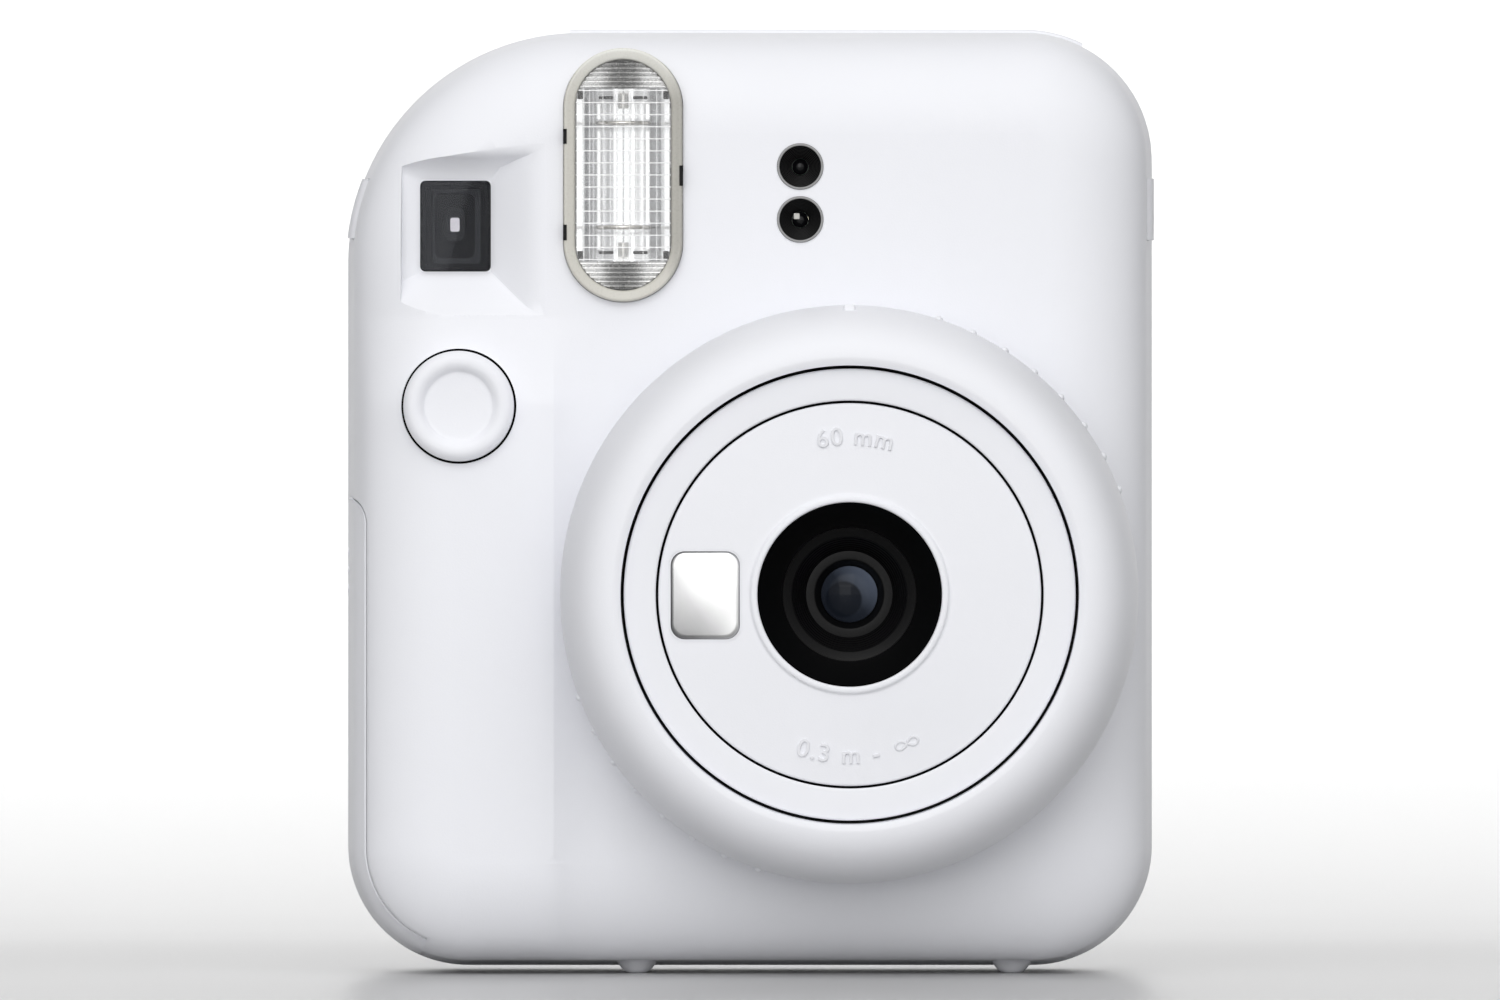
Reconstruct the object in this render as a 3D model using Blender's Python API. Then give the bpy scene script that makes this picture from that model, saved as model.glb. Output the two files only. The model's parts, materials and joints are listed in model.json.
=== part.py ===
"""Instant camera, modelled as the pieces it comes apart into on a bench.

Frame: +X to the right seen from the front, -Y out of the lens, +Z up.
The origin is under the middle of the camera, on the plane of its feet.
Every size below is in millimetres; meshes are made in metres.
"""

import math

import bmesh
import bpy
from mathutils import Vector

MM = 0.001
GAP = 0.3  # clearance between two neighbouring pieces

# Body
HALF_WIDTH = 52.0
FOOT = 0.9
BODY_TOP = 121.5
FRONT_Y = -11.0
BACK_Y = 33.3
SEAM_Y = 7.0  # where the front and rear shells meet
WALL = 2.0
FRONT_ROUND = 9.0
BACK_ROUND = 7.0
DRAFT = 0.8  # how far the front shell draws in before its rounded edge
CORNERS = (  # centre x, centre z, radius, first angle: one arc for each corner
    (HALF_WIDTH - 16.5, BODY_TOP - 16.5, 16.5, 0),
    (-HALF_WIDTH + 30.0, BODY_TOP - 30.0, 30.0, 90),
    (-HALF_WIDTH + 15.5, FOOT + 15.5, 15.5, 180),
    (HALF_WIDTH - 15.5, FOOT + 15.5, 15.5, 270),
)
ARC_STEPS = 8

# Lens
LENS_X, LENS_Z = 12.7, 49.0
DIAL_R = 37.0
MID_R = 28.8
PANEL_R = 24.4
OPENING_R = 11.8
DIAL_FRONT_Y = -33.3
PANEL_FRONT_Y = -31.5
LENS_STEPS = 44  # sides of the round lens pieces
MIRROR_X, MIRROR_Z, MIRROR_W, MIRROR_H = -5.7, 48.9, 8.8, 11.2

# Front of the body
FLASH_X, FLASH_Z, FLASH_W, FLASH_H = -16.3, 102.8, 15.3, 32.6
FINDER_X, FINDER_Z = -37.9, 96.3
BUTTON_X, BUTTON_Z, BUTTON_R = -37.4, 73.1, 7.1
SENSOR_X, SENSOR_ZS, SENSOR_R = 6.45, {"upper": 103.9, "lower": 97.1}, 2.9
GRIP_X, GRIP_TOP, GRIP_RISE = -25.2, 74.0, 1.6
LUG_Z = 98.6

# Film path
FILM_X = LENS_X
EXIT_Y = 14.5
CHAMBER = ((-19.6, 6.0), (44.6, 102.4))  # outside of the film chamber, low and high x, z
CHAMBER_WALL = 1.5
ROLLER_Z, ROLLER_R, SHAFT_R = 108.0, 3.2, 1.0
NIP = 0.2  # half of the gap that a print passes through

# Eject gears, all in one plane beside the film chamber
GEAR_X = (-24.6, -22.4)
GEAR_MODULE = 0.6
PINION_TEETH, IDLER_TEETH, ROLLER_TEETH = 12, 30, 16
SYNC_MODULE, SYNC_TEETH = 0.425, 16
MOTOR_Y, MOTOR_Z, MOTOR_R = 18.0, 84.4, 5.4

# Batteries
CELL_X, CELL_YS, CELL_R, CELL_LENGTH, CELL_Z = -36.0, {"front": 0.8, "rear": 16.6}, 7.25, 50.5, 11.0
COVER_TOP_Z, COVER_END_X, COVER_IN = 61.4, -42.6, 2.6

# Film door
DOOR_EDGE_X, DOOR_SPLIT_Y = -24.0, 25.3
HINGE_X, HINGE_Y, HINGE_R = 51.2, 24.4, 0.8
HINGE_Z = (18.0, 103.0)
PIN_R = 0.45
LATCH_Z = 62.0
COUNTER_X, COUNTER_Z = -36.0, 40.0

WHITE = (0.86, 0.86, 0.87, 1.0)
BLACK = (0.02, 0.02, 0.022, 1.0)


# ---------------------------------------------------------------- helpers


def clear_scene():
    for obj in list(bpy.data.objects):
        bpy.data.objects.remove(obj)


def finish_as(obj, colour, roughness, metallic=0.0):
    """Give the piece its own Principled material."""
    material = bpy.data.materials.new(obj.name)
    material.use_nodes = True
    shader = material.node_tree.nodes["Principled BSDF"]
    shader.inputs["Base Color"].default_value = colour
    shader.inputs["Roughness"].default_value = roughness
    shader.inputs["Metallic"].default_value = metallic
    obj.data.materials.append(material)
    return obj


def white(obj):
    return finish_as(obj, WHITE, 0.45)


def black(obj):
    return finish_as(obj, BLACK, 0.5)


def steel(obj):
    return finish_as(obj, (0.6, 0.6, 0.62, 1.0), 0.3, 1.0)


def clear(obj):
    return finish_as(obj, (0.8, 0.85, 0.88, 0.4), 0.05)


def mesh_object(name, points, faces):
    """A closed mesh from points in millimetres, its faces turned outwards."""
    mesh = bpy.data.meshes.new(name)
    bm = bmesh.new()
    verts = [bm.verts.new(Vector(p) * MM) for p in points]
    for face in faces:
        bm.faces.new([verts[i] for i in face])
    bmesh.ops.recalc_face_normals(bm, faces=bm.faces)
    bm.to_mesh(mesh)
    bm.free()
    obj = bpy.data.objects.new(name, mesh)
    bpy.context.scene.collection.objects.link(obj)
    return obj


def loft(name, rings):
    """Join rings that have the same number of points, and cap the first and the last."""
    count = len(rings[0])
    points = [p for ring in rings for p in ring]
    faces = [tuple(range(count)), tuple(range(len(points) - count, len(points)))]
    for r in range(len(rings) - 1):
        for i in range(count):
            j = (i + 1) % count
            a, b = r * count, (r + 1) * count
            faces.append((a + i, a + j, b + j, b + i))
    return mesh_object(name, points, faces)


def place(axis, u, v, h):
    """A point at u, v across an axis and h along it: x gives (y, z), y gives (x, z), z gives (x, y)."""
    return {"x": (h, u, v), "y": (u, h, v), "z": (u, v, h)}[axis]


def prism(name, outline, low, high, axis="y"):
    return loft(name, [[place(axis, u, v, h) for u, v in outline] for h in (low, high)])


def smooth(obj, angle=40):
    obj.data.shade_smooth()
    obj.data.set_sharp_from_angle(angle=math.radians(angle))
    return obj


def turned(name, profile, centre, axis="y", steps=48):
    """Turn a profile of (radius, height) about an axis. A profile that starts and ends on the
    axis is a solid; any other is closed into a ring."""
    cu, cv = centre
    solid = profile[0][0] == 0 and profile[-1][0] == 0
    points, faces, rows = [], [], []
    for radius, height in profile:
        if radius == 0:
            rows.append([len(points)] * steps)
            points.append(place(axis, cu, cv, height))
            continue
        rows.append(list(range(len(points), len(points) + steps)))
        for s in range(steps):
            turn = math.tau * s / steps
            points.append(place(axis, cu + radius * math.cos(turn), cv + radius * math.sin(turn), height))
    pairs = list(zip(rows, rows[1:])) if solid else list(zip(rows, rows[1:] + rows[:1]))
    for low, high in pairs:
        for i in range(steps):
            j = (i + 1) % steps
            corners = [low[i], low[j], high[j], high[i]]
            faces.append(tuple(dict.fromkeys(corners)))
    return smooth(mesh_object(name, points, faces))


def rod(name, radius, low, high, centre, axis="y", steps=16):
    return turned(name, [(0, low), (radius, low), (radius, high), (0, high)], centre, axis, steps)


def rectangle(cx, cz, width, height, corner=0.0, steps=4):
    """A rectangle about its centre, with round corners where a corner radius is given."""
    w, h = width / 2, height / 2
    if corner <= 0:
        return [(cx + w, cz + h), (cx - w, cz + h), (cx - w, cz - h), (cx + w, cz - h)]
    points = []
    for sx, sz, start in ((1, 1, 0), (-1, 1, 90), (-1, -1, 180), (1, -1, 270)):
        for s in range(steps + 1):
            turn = math.radians(start + 90 * s / steps)
            x = cx + sx * (w - corner) + corner * math.cos(turn)
            points.append((x, cz + sz * (h - corner) + corner * math.sin(turn)))
    return points


def block(name, low, high):
    (x0, y0, z0), (x1, y1, z1) = low, high
    return prism(name, [(x0, z0), (x1, z0), (x1, z1), (x0, z1)], y0, y1)


def stadium(cx, cz, width, height, steps=8):
    """A slot shape with round ends, taller than it is wide."""
    return rectangle(cx, cz, width, height, width / 2 - 0.01, steps)


def body_outline(inset=0.0):
    """The body seen from the front: four arcs that keep their centres as the outline draws in."""
    points = []
    for cx, cz, radius, start in CORNERS:
        for s in range(ARC_STEPS + 1):
            turn = math.radians(start + 90 * s / ARC_STEPS)
            reach = radius - inset
            points.append((cx + reach * math.cos(turn), cz + reach * math.sin(turn)))
    return points


def body_ring(inset, y):
    return [(x, y, z) for x, z in body_outline(inset)]


def round_rings(inset, y_edge, radius, towards, steps=4):
    """Rings of a quarter-round edge that starts at y_edge and turns in towards -Y or +Y."""
    rings = []
    for s in range(steps + 1):
        turn = math.radians(90 * s / steps)
        rings.append(body_ring(inset + radius * (1 - math.cos(turn)), y_edge + towards * radius * math.sin(turn)))
    return rings


def guide(obj):
    """A shape that only cuts or limits another piece."""
    obj.hide_render = True
    obj.display_type = "WIRE"
    return obj


def combine(obj, other, operation):
    modifier = obj.modifiers.new(other.name, "BOOLEAN")
    modifier.operation = operation
    modifier.solver = "EXACT"
    modifier.object = guide(other)
    return obj


def cut(obj, *others):
    for other in others:
        combine(obj, other, "DIFFERENCE")
    return obj


def join(obj, *others):
    for other in others:
        combine(obj, other, "UNION")
    return obj


def keep_inside(obj, other):
    return combine(obj, other, "INTERSECT")


def coil(name, centre, axis, radius, wire, low, high, turns, steps=9, sides=4):
    """A round wire wound about an axis; its points are worked out along the helix."""
    rings = []
    total = turns * steps
    for i in range(total + 1):
        turn = math.tau * i / steps
        height = low + wire + (high - low - 2 * wire) * i / total
        ring = []
        for s in range(sides):
            phase = math.tau * s / sides
            reach = radius + wire * math.cos(phase)
            ring.append(
                place(
                    axis,
                    centre[0] + reach * math.cos(turn),
                    centre[1] + reach * math.sin(turn),
                    height + wire * math.sin(phase),
                )
            )
        rings.append(ring)
    return smooth(loft(name, rings))


def gear_outline(centre, teeth, module, phase, backlash=0.12):
    """Spur gear outline: each tooth has a root, a flank point and a tip on both sides. The flank
    meets the involute of a 20 degree rack at the pitch circle and at the tip."""
    pressure = math.radians(20)
    pitch = module * teeth / 2
    base = pitch * math.cos(pressure)
    radii = (pitch, pitch + 0.75 * module)
    half_pitch = math.pi / (2 * teeth) - backlash / (2 * pitch)

    def involute(radius):
        angle = math.acos(min(1.0, base / radius))
        return math.tan(angle) - angle

    points = []
    for tooth in range(teeth):
        middle = phase + math.tau * tooth / teeth
        side = [half_pitch + involute(pitch) - involute(r) for r in radii]
        root = (pitch - 1.15 * module, half_pitch + involute(pitch))
        flank = [root] + list(zip(radii, side))
        ordered = [(r, -a) for r, a in flank] + [(r, a) for r, a in reversed(flank)]
        for radius, angle in ordered:
            points.append(
                (
                    centre[0] + radius * math.cos(middle + angle),
                    centre[1] + radius * math.sin(middle + angle),
                )
            )
    return points


# ---------------------------------------------------------------- casings


def body_solid(name, inset=0.0, front=FRONT_Y, back=BACK_Y):
    """The whole outside of the body, or that of its hollow when inset and pulled in."""
    front_round = FRONT_ROUND - inset
    back_round = BACK_ROUND - inset
    rings = list(reversed(round_rings(inset + DRAFT, front + front_round, front_round, -1)))
    rings.append(body_ring(inset, SEAM_Y))
    rings += round_rings(inset, back - back_round, back_round, 1)
    return loft(name, rings)


def hollow(name):
    return body_solid(name, WALL, FRONT_Y + WALL, BACK_Y - WALL)


def cover_region(name, grow):
    """The space of the battery cover: the left wall and the lower left corner, to a given depth."""
    first = 2 * (ARC_STEPS + 1)  # first point of the lower left arc
    depth, end_x, top = COVER_IN + grow, COVER_END_X + grow, COVER_TOP_Z + grow
    bands = []
    for inset in (-3.0, depth):
        arc = body_outline(inset)[first : first + ARC_STEPS + 1]
        kept = [p for p in arc if p[0] < end_x]
        bands.append([(-HALF_WIDTH + inset, top)] + kept + [(end_x, kept[-1][1] - 0.5)])
    outer, inner = bands
    return prism(name, outer + list(reversed(inner)), -8.4 - grow, 24.0 + grow)


def finder_frustum(name, grow, front, back):
    """The sloping funnel in front of the viewfinder, from a wide rectangle to a narrow one."""
    wide = (-44.9, -27.7, 84.8, 105.4)
    narrow = (FINDER_X - 4.7, FINDER_X + 4.7, FINDER_Z - 6.0, FINDER_Z + 6.0)
    rings = []
    for y in (front, back):
        t = (y - FRONT_Y) / 4.2
        x0, x1, z0, z1 = (a + (b - a) * t for a, b in zip(wide, narrow))
        corners = [(x0 - grow, z0 - grow), (x1 + grow, z0 - grow), (x1 + grow, z1 + grow), (x0 - grow, z1 + grow)]
        rings.append([(x, y, z) for x, z in corners])
    return loft(name, rings)


def foot(name, x, y):
    """A moulded dome foot with a small flat where it stands."""
    profile = [(0, 0), (1.1, 0), (1.7, 0.35), (2.0, FOOT), (2.0, FOOT + 1.0), (0, FOOT + 1.0)]
    return turned(name, profile, (x, y), "z", 16)


def make_front_shell():
    shell = white(body_solid("front_shell"))
    grip = [(-48.5, 16), (-46.5, 9.5), (-42, 5), (-36, 2.6), (GRIP_X, 2.6), (GRIP_X, GRIP_TOP)]
    grip += [(-27.5, 82.5), (-32.0, 84.4), (-45.0, 84.4), (-48.5, 80)]
    bulge = prism("grip_bulge", grip, FRONT_Y - GRIP_RISE, FRONT_Y + 3.0)
    bevel = bulge.modifiers.new("soft_edge", "BEVEL")
    bevel.width = 1.2 * MM
    bevel.segments = 2
    join(shell, keep_inside(bulge, prism("grip_limit", body_outline(2.5), -20, 0)))
    for x in (-14.6, 33.8):
        join(shell, foot(f"front_foot_{x}", x, 2.5))
    cavity = hollow("front_cavity")
    cut(cavity, finder_frustum("finder_boss", 1.6, FRONT_Y + 1.2, FRONT_Y + 4.8))
    boss = rod("button_boss", BUTTON_R + 2.2, FRONT_Y, FRONT_Y + 6.0, (BUTTON_X, BUTTON_Z), steps=32)
    cut(cavity, boss)
    cut(shell, block("behind_seam", (-60, SEAM_Y, -5), (60, 60, 130)))
    cut(shell, cavity)
    cut(shell, finder_frustum("finder_funnel", 0.0, FRONT_Y - 3.0, FRONT_Y + 5.2))
    cut(shell, prism("flash_hole", stadium(FLASH_X, FLASH_Z, FLASH_W + 0.6, FLASH_H + 0.6), -20, 0))
    cut(shell, rod("lens_hole", MID_R + 2.2, -20, 0, (LENS_X, LENS_Z), steps=LENS_STEPS))
    cut(shell, rod("button_hole", BUTTON_R + GAP, -20, 0, (BUTTON_X, BUTTON_Z), steps=32))
    for place_name, z in SENSOR_ZS.items():
        cut(shell, rod(f"sensor_hole_{place_name}", SENSOR_R + GAP, -20, 0, (SENSOR_X, z)))
    cut(shell, cover_region("front_cover_cut", GAP))
    for side in (-1, 1):
        x = side * 52.0
        cut(shell, block(f"front_lug_cut_{side}", (x - 2.6, -2.3, LUG_Z - 4.3), (x + 2.6, 2.9, LUG_Z + 4.3)))
    return shell


def top_strip_region(name, inset_out, inset_in, grow, y0, y1):
    """The band of the film exit along the top, which follows the shoulder on both sides."""
    x0, x1 = -23.9 - grow, 43.0 + grow
    outer = [p for p in body_outline(inset_out) if x0 < p[0] < x1 and p[1] > 100]
    inner = [p for p in body_outline(inset_in) if x0 < p[0] < x1 and p[1] > 100]

    def height(x, inset):
        """The outline's height above a place on the top or on either shoulder."""
        for cx, cz, radius, start in CORNERS[:2]:
            if (start == 0 and x > cx) or (start == 90 and x < cx):
                return cz + math.sqrt((radius - inset) ** 2 - (x - cx) ** 2)
        return BODY_TOP - inset

    outer = [(x1, height(x1, inset_out))] + outer + [(x0, height(x0, inset_out))]
    inner = [(x1, height(x1, inset_in))] + inner + [(x0, height(x0, inset_in))]
    return prism(name, outer + list(reversed(inner)), y0, y1)


def make_rear_shell():
    shell = white(body_solid("rear_shell"))
    for x in (-14.6, 33.8):
        join(shell, foot(f"rear_foot_{x}", x, 20.0))
    cut(shell, block("before_seam", (-60, -30, -5), (60, SEAM_Y + GAP, 130)))
    cut(shell, hollow("rear_cavity"))
    cut(shell, block("door_space", (DOOR_EDGE_X - GAP, DOOR_SPLIT_Y - GAP, -5), (60, 60, 130)))
    hinge = (HINGE_X, HINGE_Y)
    cut(shell, rod("hinge_space", HINGE_R + 0.45, HINGE_Z[0] - GAP, HINGE_Z[1] + GAP, hinge, "z", 16))
    cut(shell, rod("pin_space", PIN_R + 0.15, HINGE_Z[0] - 3.3, HINGE_Z[1] + 3.3, hinge, "z", 12))
    cut(shell, block("door_swing_relief", (HINGE_X + 0.6, HINGE_Y + 0.3, -5), (60, 60, 130)))
    cut(shell, top_strip_region("exit_space", -3.0, 3.0, GAP, 9.2, 19.8))
    eyepiece = rectangle(FINDER_X, FINDER_Z, 13.0, 15.0, 2.0)
    cut(shell, prism("eyepiece_hole", eyepiece, 25, 40))
    cut(shell, prism("counter_hole", rectangle(COUNTER_X, COUNTER_Z + 6.0, 6.6, 6.6, 1.5), 29, 40))
    cut(shell, cover_region("rear_cover_cut", GAP))
    for x in (-30.0, 26.0):
        head = rod(f"screw_seat_{x}", 2.0, FOOT - 2, FOOT + 1.2, (x, 14.0), "z", 16)
        shank = rod(f"screw_way_{x}", 1.2, FOOT, FOOT + 3, (x, 14.0), "z", 12)
        cut(shell, head, shank)
    wall = block("light_wall", (DOOR_EDGE_X - 2.3, 24.0, 1.5), (DOOR_EDGE_X - GAP, 32.5, 121.0))
    join(shell, keep_inside(wall, body_solid("light_wall_limit")))
    low, high = (DOOR_EDGE_X - 6.0, 31.3, LATCH_Z - 8.0), (DOOR_EDGE_X + 1.0, 40.0, LATCH_Z + 8.0)
    bed = block("latch_floor", (low[0] - 1.5, 30.0, low[2] - 1.5), (DOOR_EDGE_X - GAP, 32.0, high[2] + 1.5))
    return cut(join(shell, bed), block("latch_slot", low, high))


def make_exit_cover():
    cover = top_strip_region("exit_cover", -0.5, 1.7, 0.0, 9.5, 19.5)
    way = block("print_way", (FILM_X - 28.3, EXIT_Y - 1.6, 100), (FILM_X + 28.3, EXIT_Y + 1.6, 130))
    return white(cut(cover, way))


def make_exit_flap():
    """A thin strip that closes the print slot and turns about its front edge."""
    axis_y, axis_z = EXIT_Y - 1.0, BODY_TOP - 0.9
    outline = [(axis_y - 0.3, axis_z - 0.3), (axis_y + 2.2, axis_z - 0.3), (axis_y + 2.2, axis_z + 0.2)]
    outline += [(axis_y, axis_z + 0.3), (axis_y - 0.3, axis_z + 0.1)]
    flap = prism("exit_flap", outline, FILM_X - 27.9, FILM_X + 27.9, "x")
    return black(flap)


def make_battery_cover():
    cover = body_solid("battery_cover")
    return white(keep_inside(cover, cover_region("cover_limit", 0.0)))


def make_strap_lugs():
    for side, sign in (("left", -1), ("right", 1)):
        lug = rectangle(sign * 50.9, LUG_Z, 2.2, 8.0, 0.6, 3)
        eye = rectangle(sign * 50.7, LUG_Z, 0.9, 4.6, 0.3, 2)
        piece = prism(f"strap_lug_{side}", lug, -2.0, 2.6)
        white(cut(piece, prism(f"lug_eye_{side}", eye, -10, 10)))


# ---------------------------------------------------------------- front of the body


def make_flash():
    bezel = prism("flash_bezel", stadium(FLASH_X, FLASH_Z, FLASH_W, FLASH_H), -12.4, -5.5)
    cut(bezel, prism("flash_bezel_hole", stadium(FLASH_X, FLASH_Z, 12.6, 29.6), -20, 0))
    finish_as(bezel, (0.62, 0.6, 0.54, 1.0), 0.35, 0.2)
    window = prism("flash_window", stadium(FLASH_X, FLASH_Z, 12.0, 29.0), -12.2, -10.6)
    clear(window)
    # a trough of bright metal, deep in the middle, with a rib along each lip
    half, z0, z1 = 5.6, FLASH_Z - 11.0, FLASH_Z + 11.0
    outside = [(-half, -10.2), (-half + 0.3, -6.5), (-3.0, -2.9), (3.0, -2.9), (half - 0.3, -6.5), (half, -10.2)]
    inside = [(half - 0.6, -10.2), (half - 1.0, -6.8), (2.4, -3.7), (-2.4, -3.7), (-half + 1.0, -6.8), (-half + 0.6, -10.2)]
    trough = [(FLASH_X + u, y) for u, y in outside + inside]
    finish_as(prism("flash_reflector", trough, z0, z1, "z"), (0.85, 0.85, 0.86, 1.0), 0.1, 1.0)
    clear(rod("flash_tube", 1.1, z0 - 1.5, z1 + 1.5, (FLASH_X, -5.6), "z", 12))


def make_viewfinder():
    tunnel = prism("viewfinder_housing", rectangle(FINDER_X, FINDER_Z, 9.2, 11.8), -5.8, 30.8)
    cut(tunnel, prism("tunnel_way", rectangle(FINDER_X, FINDER_Z, 7.4, 10.0), -10, 40))
    black(tunnel)
    clear(prism("viewfinder_window", rectangle(FINDER_X, FINDER_Z, 8.6, 11.2, 0.3, 2), -8.0, -6.9))
    clear(prism("viewfinder_eyepiece", rectangle(FINDER_X, FINDER_Z, 12.4, 14.4, 1.8), 31.1, 32.5))


def make_sensors():
    for name, z in SENSOR_ZS.items():
        r = SENSOR_R
        profile = [(r, -11.3), (r, -6.0), (1.2, -6.0), (1.2, -8.2), (2.5, -11.3)]
        black(turned(f"sensor_barrel_{name}", profile, (SENSOR_X, z), steps=24))
        lens = [(0, -8.6), (0.6, -8.5), (1.0, -8.2), (1.0, -6.4), (0, -6.4)]
        clear(turned(f"sensor_lens_{name}", lens, (SENSOR_X, z), steps=16))


def make_shutter_button():
    r = BUTTON_R
    front = FRONT_Y - GRIP_RISE
    profile = [(0, front - 0.6), (4.3, front - 0.6), (4.9, front - 0.9), (5.7, front - 1.9), (6.5, front - 1.6)]
    profile += [(r, front - 0.7), (r, -8.6), (1.8, -8.6), (1.8, -4.5), (0, -4.5)]
    button = white(turned("shutter_button", profile, (0, 0), steps=32))
    button.location = Vector((BUTTON_X, 0, BUTTON_Z)) * MM
    spring = coil("shutter_spring", (BUTTON_X, BUTTON_Z), "y", 3.0, 0.25, -8.3, -3.3, 4)
    steel(spring)
    switch = (BUTTON_X - 4, -3.0, BUTTON_Z - 4), (BUTTON_X + 4, 1.0, BUTTON_Z + 4)
    black(block("shutter_switch", *switch))


# ---------------------------------------------------------------- lens


def make_lens():
    centre = (LENS_X, LENS_Z)
    mount = [(24.0, -7.2), (29.1, -7.2), (29.1, -28.2), (30.2, -28.2), (30.2, -7.2), (33.0, -7.2)]
    mount += [(33.0, -5.8), (24.0, -5.8)]
    black(turned("lens_mount", mount, centre, steps=LENS_STEPS))

    dial = [(30.6, -28.6), (30.6, -12.0), (34.4, -12.0), (36.0, -14.5), (DIAL_R, -19.5)]
    for s in range(1, 7):
        turn = math.radians(15 * s)
        dial.append((DIAL_R - 7.6 * (1 - math.cos(turn)), -24.0 - 9.3 * math.sin(turn)))
    dial += [(MID_R + GAP, DIAL_FRONT_Y + 0.9), (MID_R + GAP, -28.6)]
    ring = white(turned("lens_ring", dial, (0, 0), steps=LENS_STEPS))
    ring.location = Vector((LENS_X, 0, LENS_Z)) * MM

    mid = [(PANEL_R + GAP, -31.9), (MID_R, -31.9), (MID_R, -12.0), (27.2, -12.0)]
    mid += [(27.2, -30.0), (PANEL_R + GAP, -30.0)]
    white(turned("lens_mid_tube", mid, centre, steps=LENS_STEPS))

    panel = [(OPENING_R, PANEL_FRONT_Y - 0.5), (OPENING_R + 0.8, PANEL_FRONT_Y - 0.5)]
    panel += [(OPENING_R + 1.1, PANEL_FRONT_Y), (PANEL_R, PANEL_FRONT_Y), (PANEL_R, -12.0), (22.9, -12.0)]
    panel += [(22.9, -29.4), (OPENING_R, -29.4)]
    front = turned("lens_front_panel", panel, centre, steps=LENS_STEPS)
    pocket = rectangle(MIRROR_X, MIRROR_Z, MIRROR_W + 0.6, MIRROR_H + 0.6, 2.1)
    white(cut(front, prism("mirror_pocket", pocket, -40, PANEL_FRONT_Y + 1.1)))
    glass = prism("selfie_mirror", rectangle(MIRROR_X, MIRROR_Z, MIRROR_W, MIRROR_H, 1.8), -31.6, -30.8)
    finish_as(glass, (0.9, 0.9, 0.92, 1.0), 0.03, 1.0)

    cone = [(11.4, -31.6), (11.4, -18.5), (5.9, -18.5), (5.9, -22.5), (7.0, -22.5), (7.0, -24.5)]
    cone += [(8.6, -24.5), (8.6, -27.0), (10.7, -27.0)]
    black(turned("lens_cone", cone, centre, steps=32))
    cell = [(5.6, -22.9), (5.6, -14.0), (3.9, -14.0), (3.9, -22.9)]
    black(turned("lens_cell", cell, centre, steps=24))
    front_glass = [(0, -22.6), (2.2, -22.2), (3.6, -21.2), (3.6, -19.6), (0, -19.6)]
    clear(turned("front_element", front_glass, centre, steps=20))
    rear_glass = [(0, -17.4), (3.6, -17.4), (3.6, -15.4), (2.2, -14.8), (0, -14.4)]
    clear(turned("rear_element", rear_glass, centre, steps=20))

    plate = [(2.6, -13.4), (2.6, -12.8), (12.5, -12.8), (12.5, -13.4)]
    shutter = turned("shutter_plate", plate, centre, steps=28)
    pivot_x, pivot_z = LENS_X + 8.2, LENS_Z - 3.0
    stud = rod("blade_stud", 0.7, -13.6, -11.8, (pivot_x, pivot_z), steps=10)
    black(join(shutter, stud))
    # a leaf that covers the aperture at rest and swings clear of it about its stud
    blade = [(1.6, 1.4), (-0.4, 2.2), (-5.2, 4.8), (-8.0, 6.8), (-11.6, 5.6), (-12.0, 1.6), (-9.0, -0.6)]
    blade += [(-4.4, -0.6), (-1.2, -1.6), (1.2, -1.4)]
    leaf = prism("shutter_blade", blade, -12.5, -12.1)
    leaf.location = Vector((pivot_x, 0, pivot_z)) * MM
    black(cut(leaf, rod("blade_bore", 0.95, -14, -11, (pivot_x, pivot_z), steps=12)))


# ---------------------------------------------------------------- inside


def chamber_outline(inset):
    (x0, z0), (x1, z1) = CHAMBER
    cx, cz = (x0 + x1) / 2, (z0 + z1) / 2
    return rectangle(cx, cz, x1 - x0 - 2 * inset, z1 - z0 - 2 * inset, 3.0 - inset, 3)


def make_chassis():
    """Film chamber open to the back, with a light cone that narrows to the lens."""
    chassis = prism("chassis", chamber_outline(0.0), 8.2, 24.4)
    cone_rings = []
    for y, half_x, half_z in ((-5.6, 14.5, 14.5), (9.0, 24.6, 32.6)):
        corners = rectangle(LENS_X, LENS_Z, 2 * half_x, 2 * half_z, 3.0, 3)
        cone_rings.append([(x, y, z) for x, z in corners])
    flange = prism("door_flange", body_outline(2.6), 22.9, 24.4)
    cut(flange, block("flange_limit", (-60, 20, -5), (DOOR_EDGE_X + 0.4, 30, 130)))
    join(chassis, loft("light_cone", cone_rings), flange)
    way_rings = []
    for y, half_x, half_z in ((-6.4, 12.8, 12.8), (10.6, 23.1, 31.1)):
        corners = rectangle(LENS_X, LENS_Z, 2 * half_x, 2 * half_z, 2.0, 3)
        way_rings.append([(x, y, z) for x, z in corners])
    cut(chassis, loft("light_way", way_rings))
    cut(chassis, prism("film_room", chamber_outline(CHAMBER_WALL), 9.8, 40))
    slot = block("film_way", (FILM_X - 28.0, 10.2, 99), (FILM_X + 28.0, 15.6, 106))
    return black(cut(chassis, slot))


def make_film_pack():
    outline = rectangle(FILM_X - 0.2, 54.2, 60.0, 92.0, 1.6, 3)
    pack = prism("film_pack", outline, 10.4, 27.6)
    window = prism("picture_opening", rectangle(FILM_X, LENS_Z, 46.0, 62.0, 1.0, 2), 0, 12.4)
    cut(pack, window)
    for x in (FILM_X - 13.0, FILM_X + 13.0):
        cut(pack, prism(f"pad_hole_{x}", rectangle(x, 50.0, 9.0, 46.0, 2.0, 2), 25.6, 40))
    return finish_as(pack, (0.03, 0.03, 0.032, 1.0), 0.55)


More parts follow.
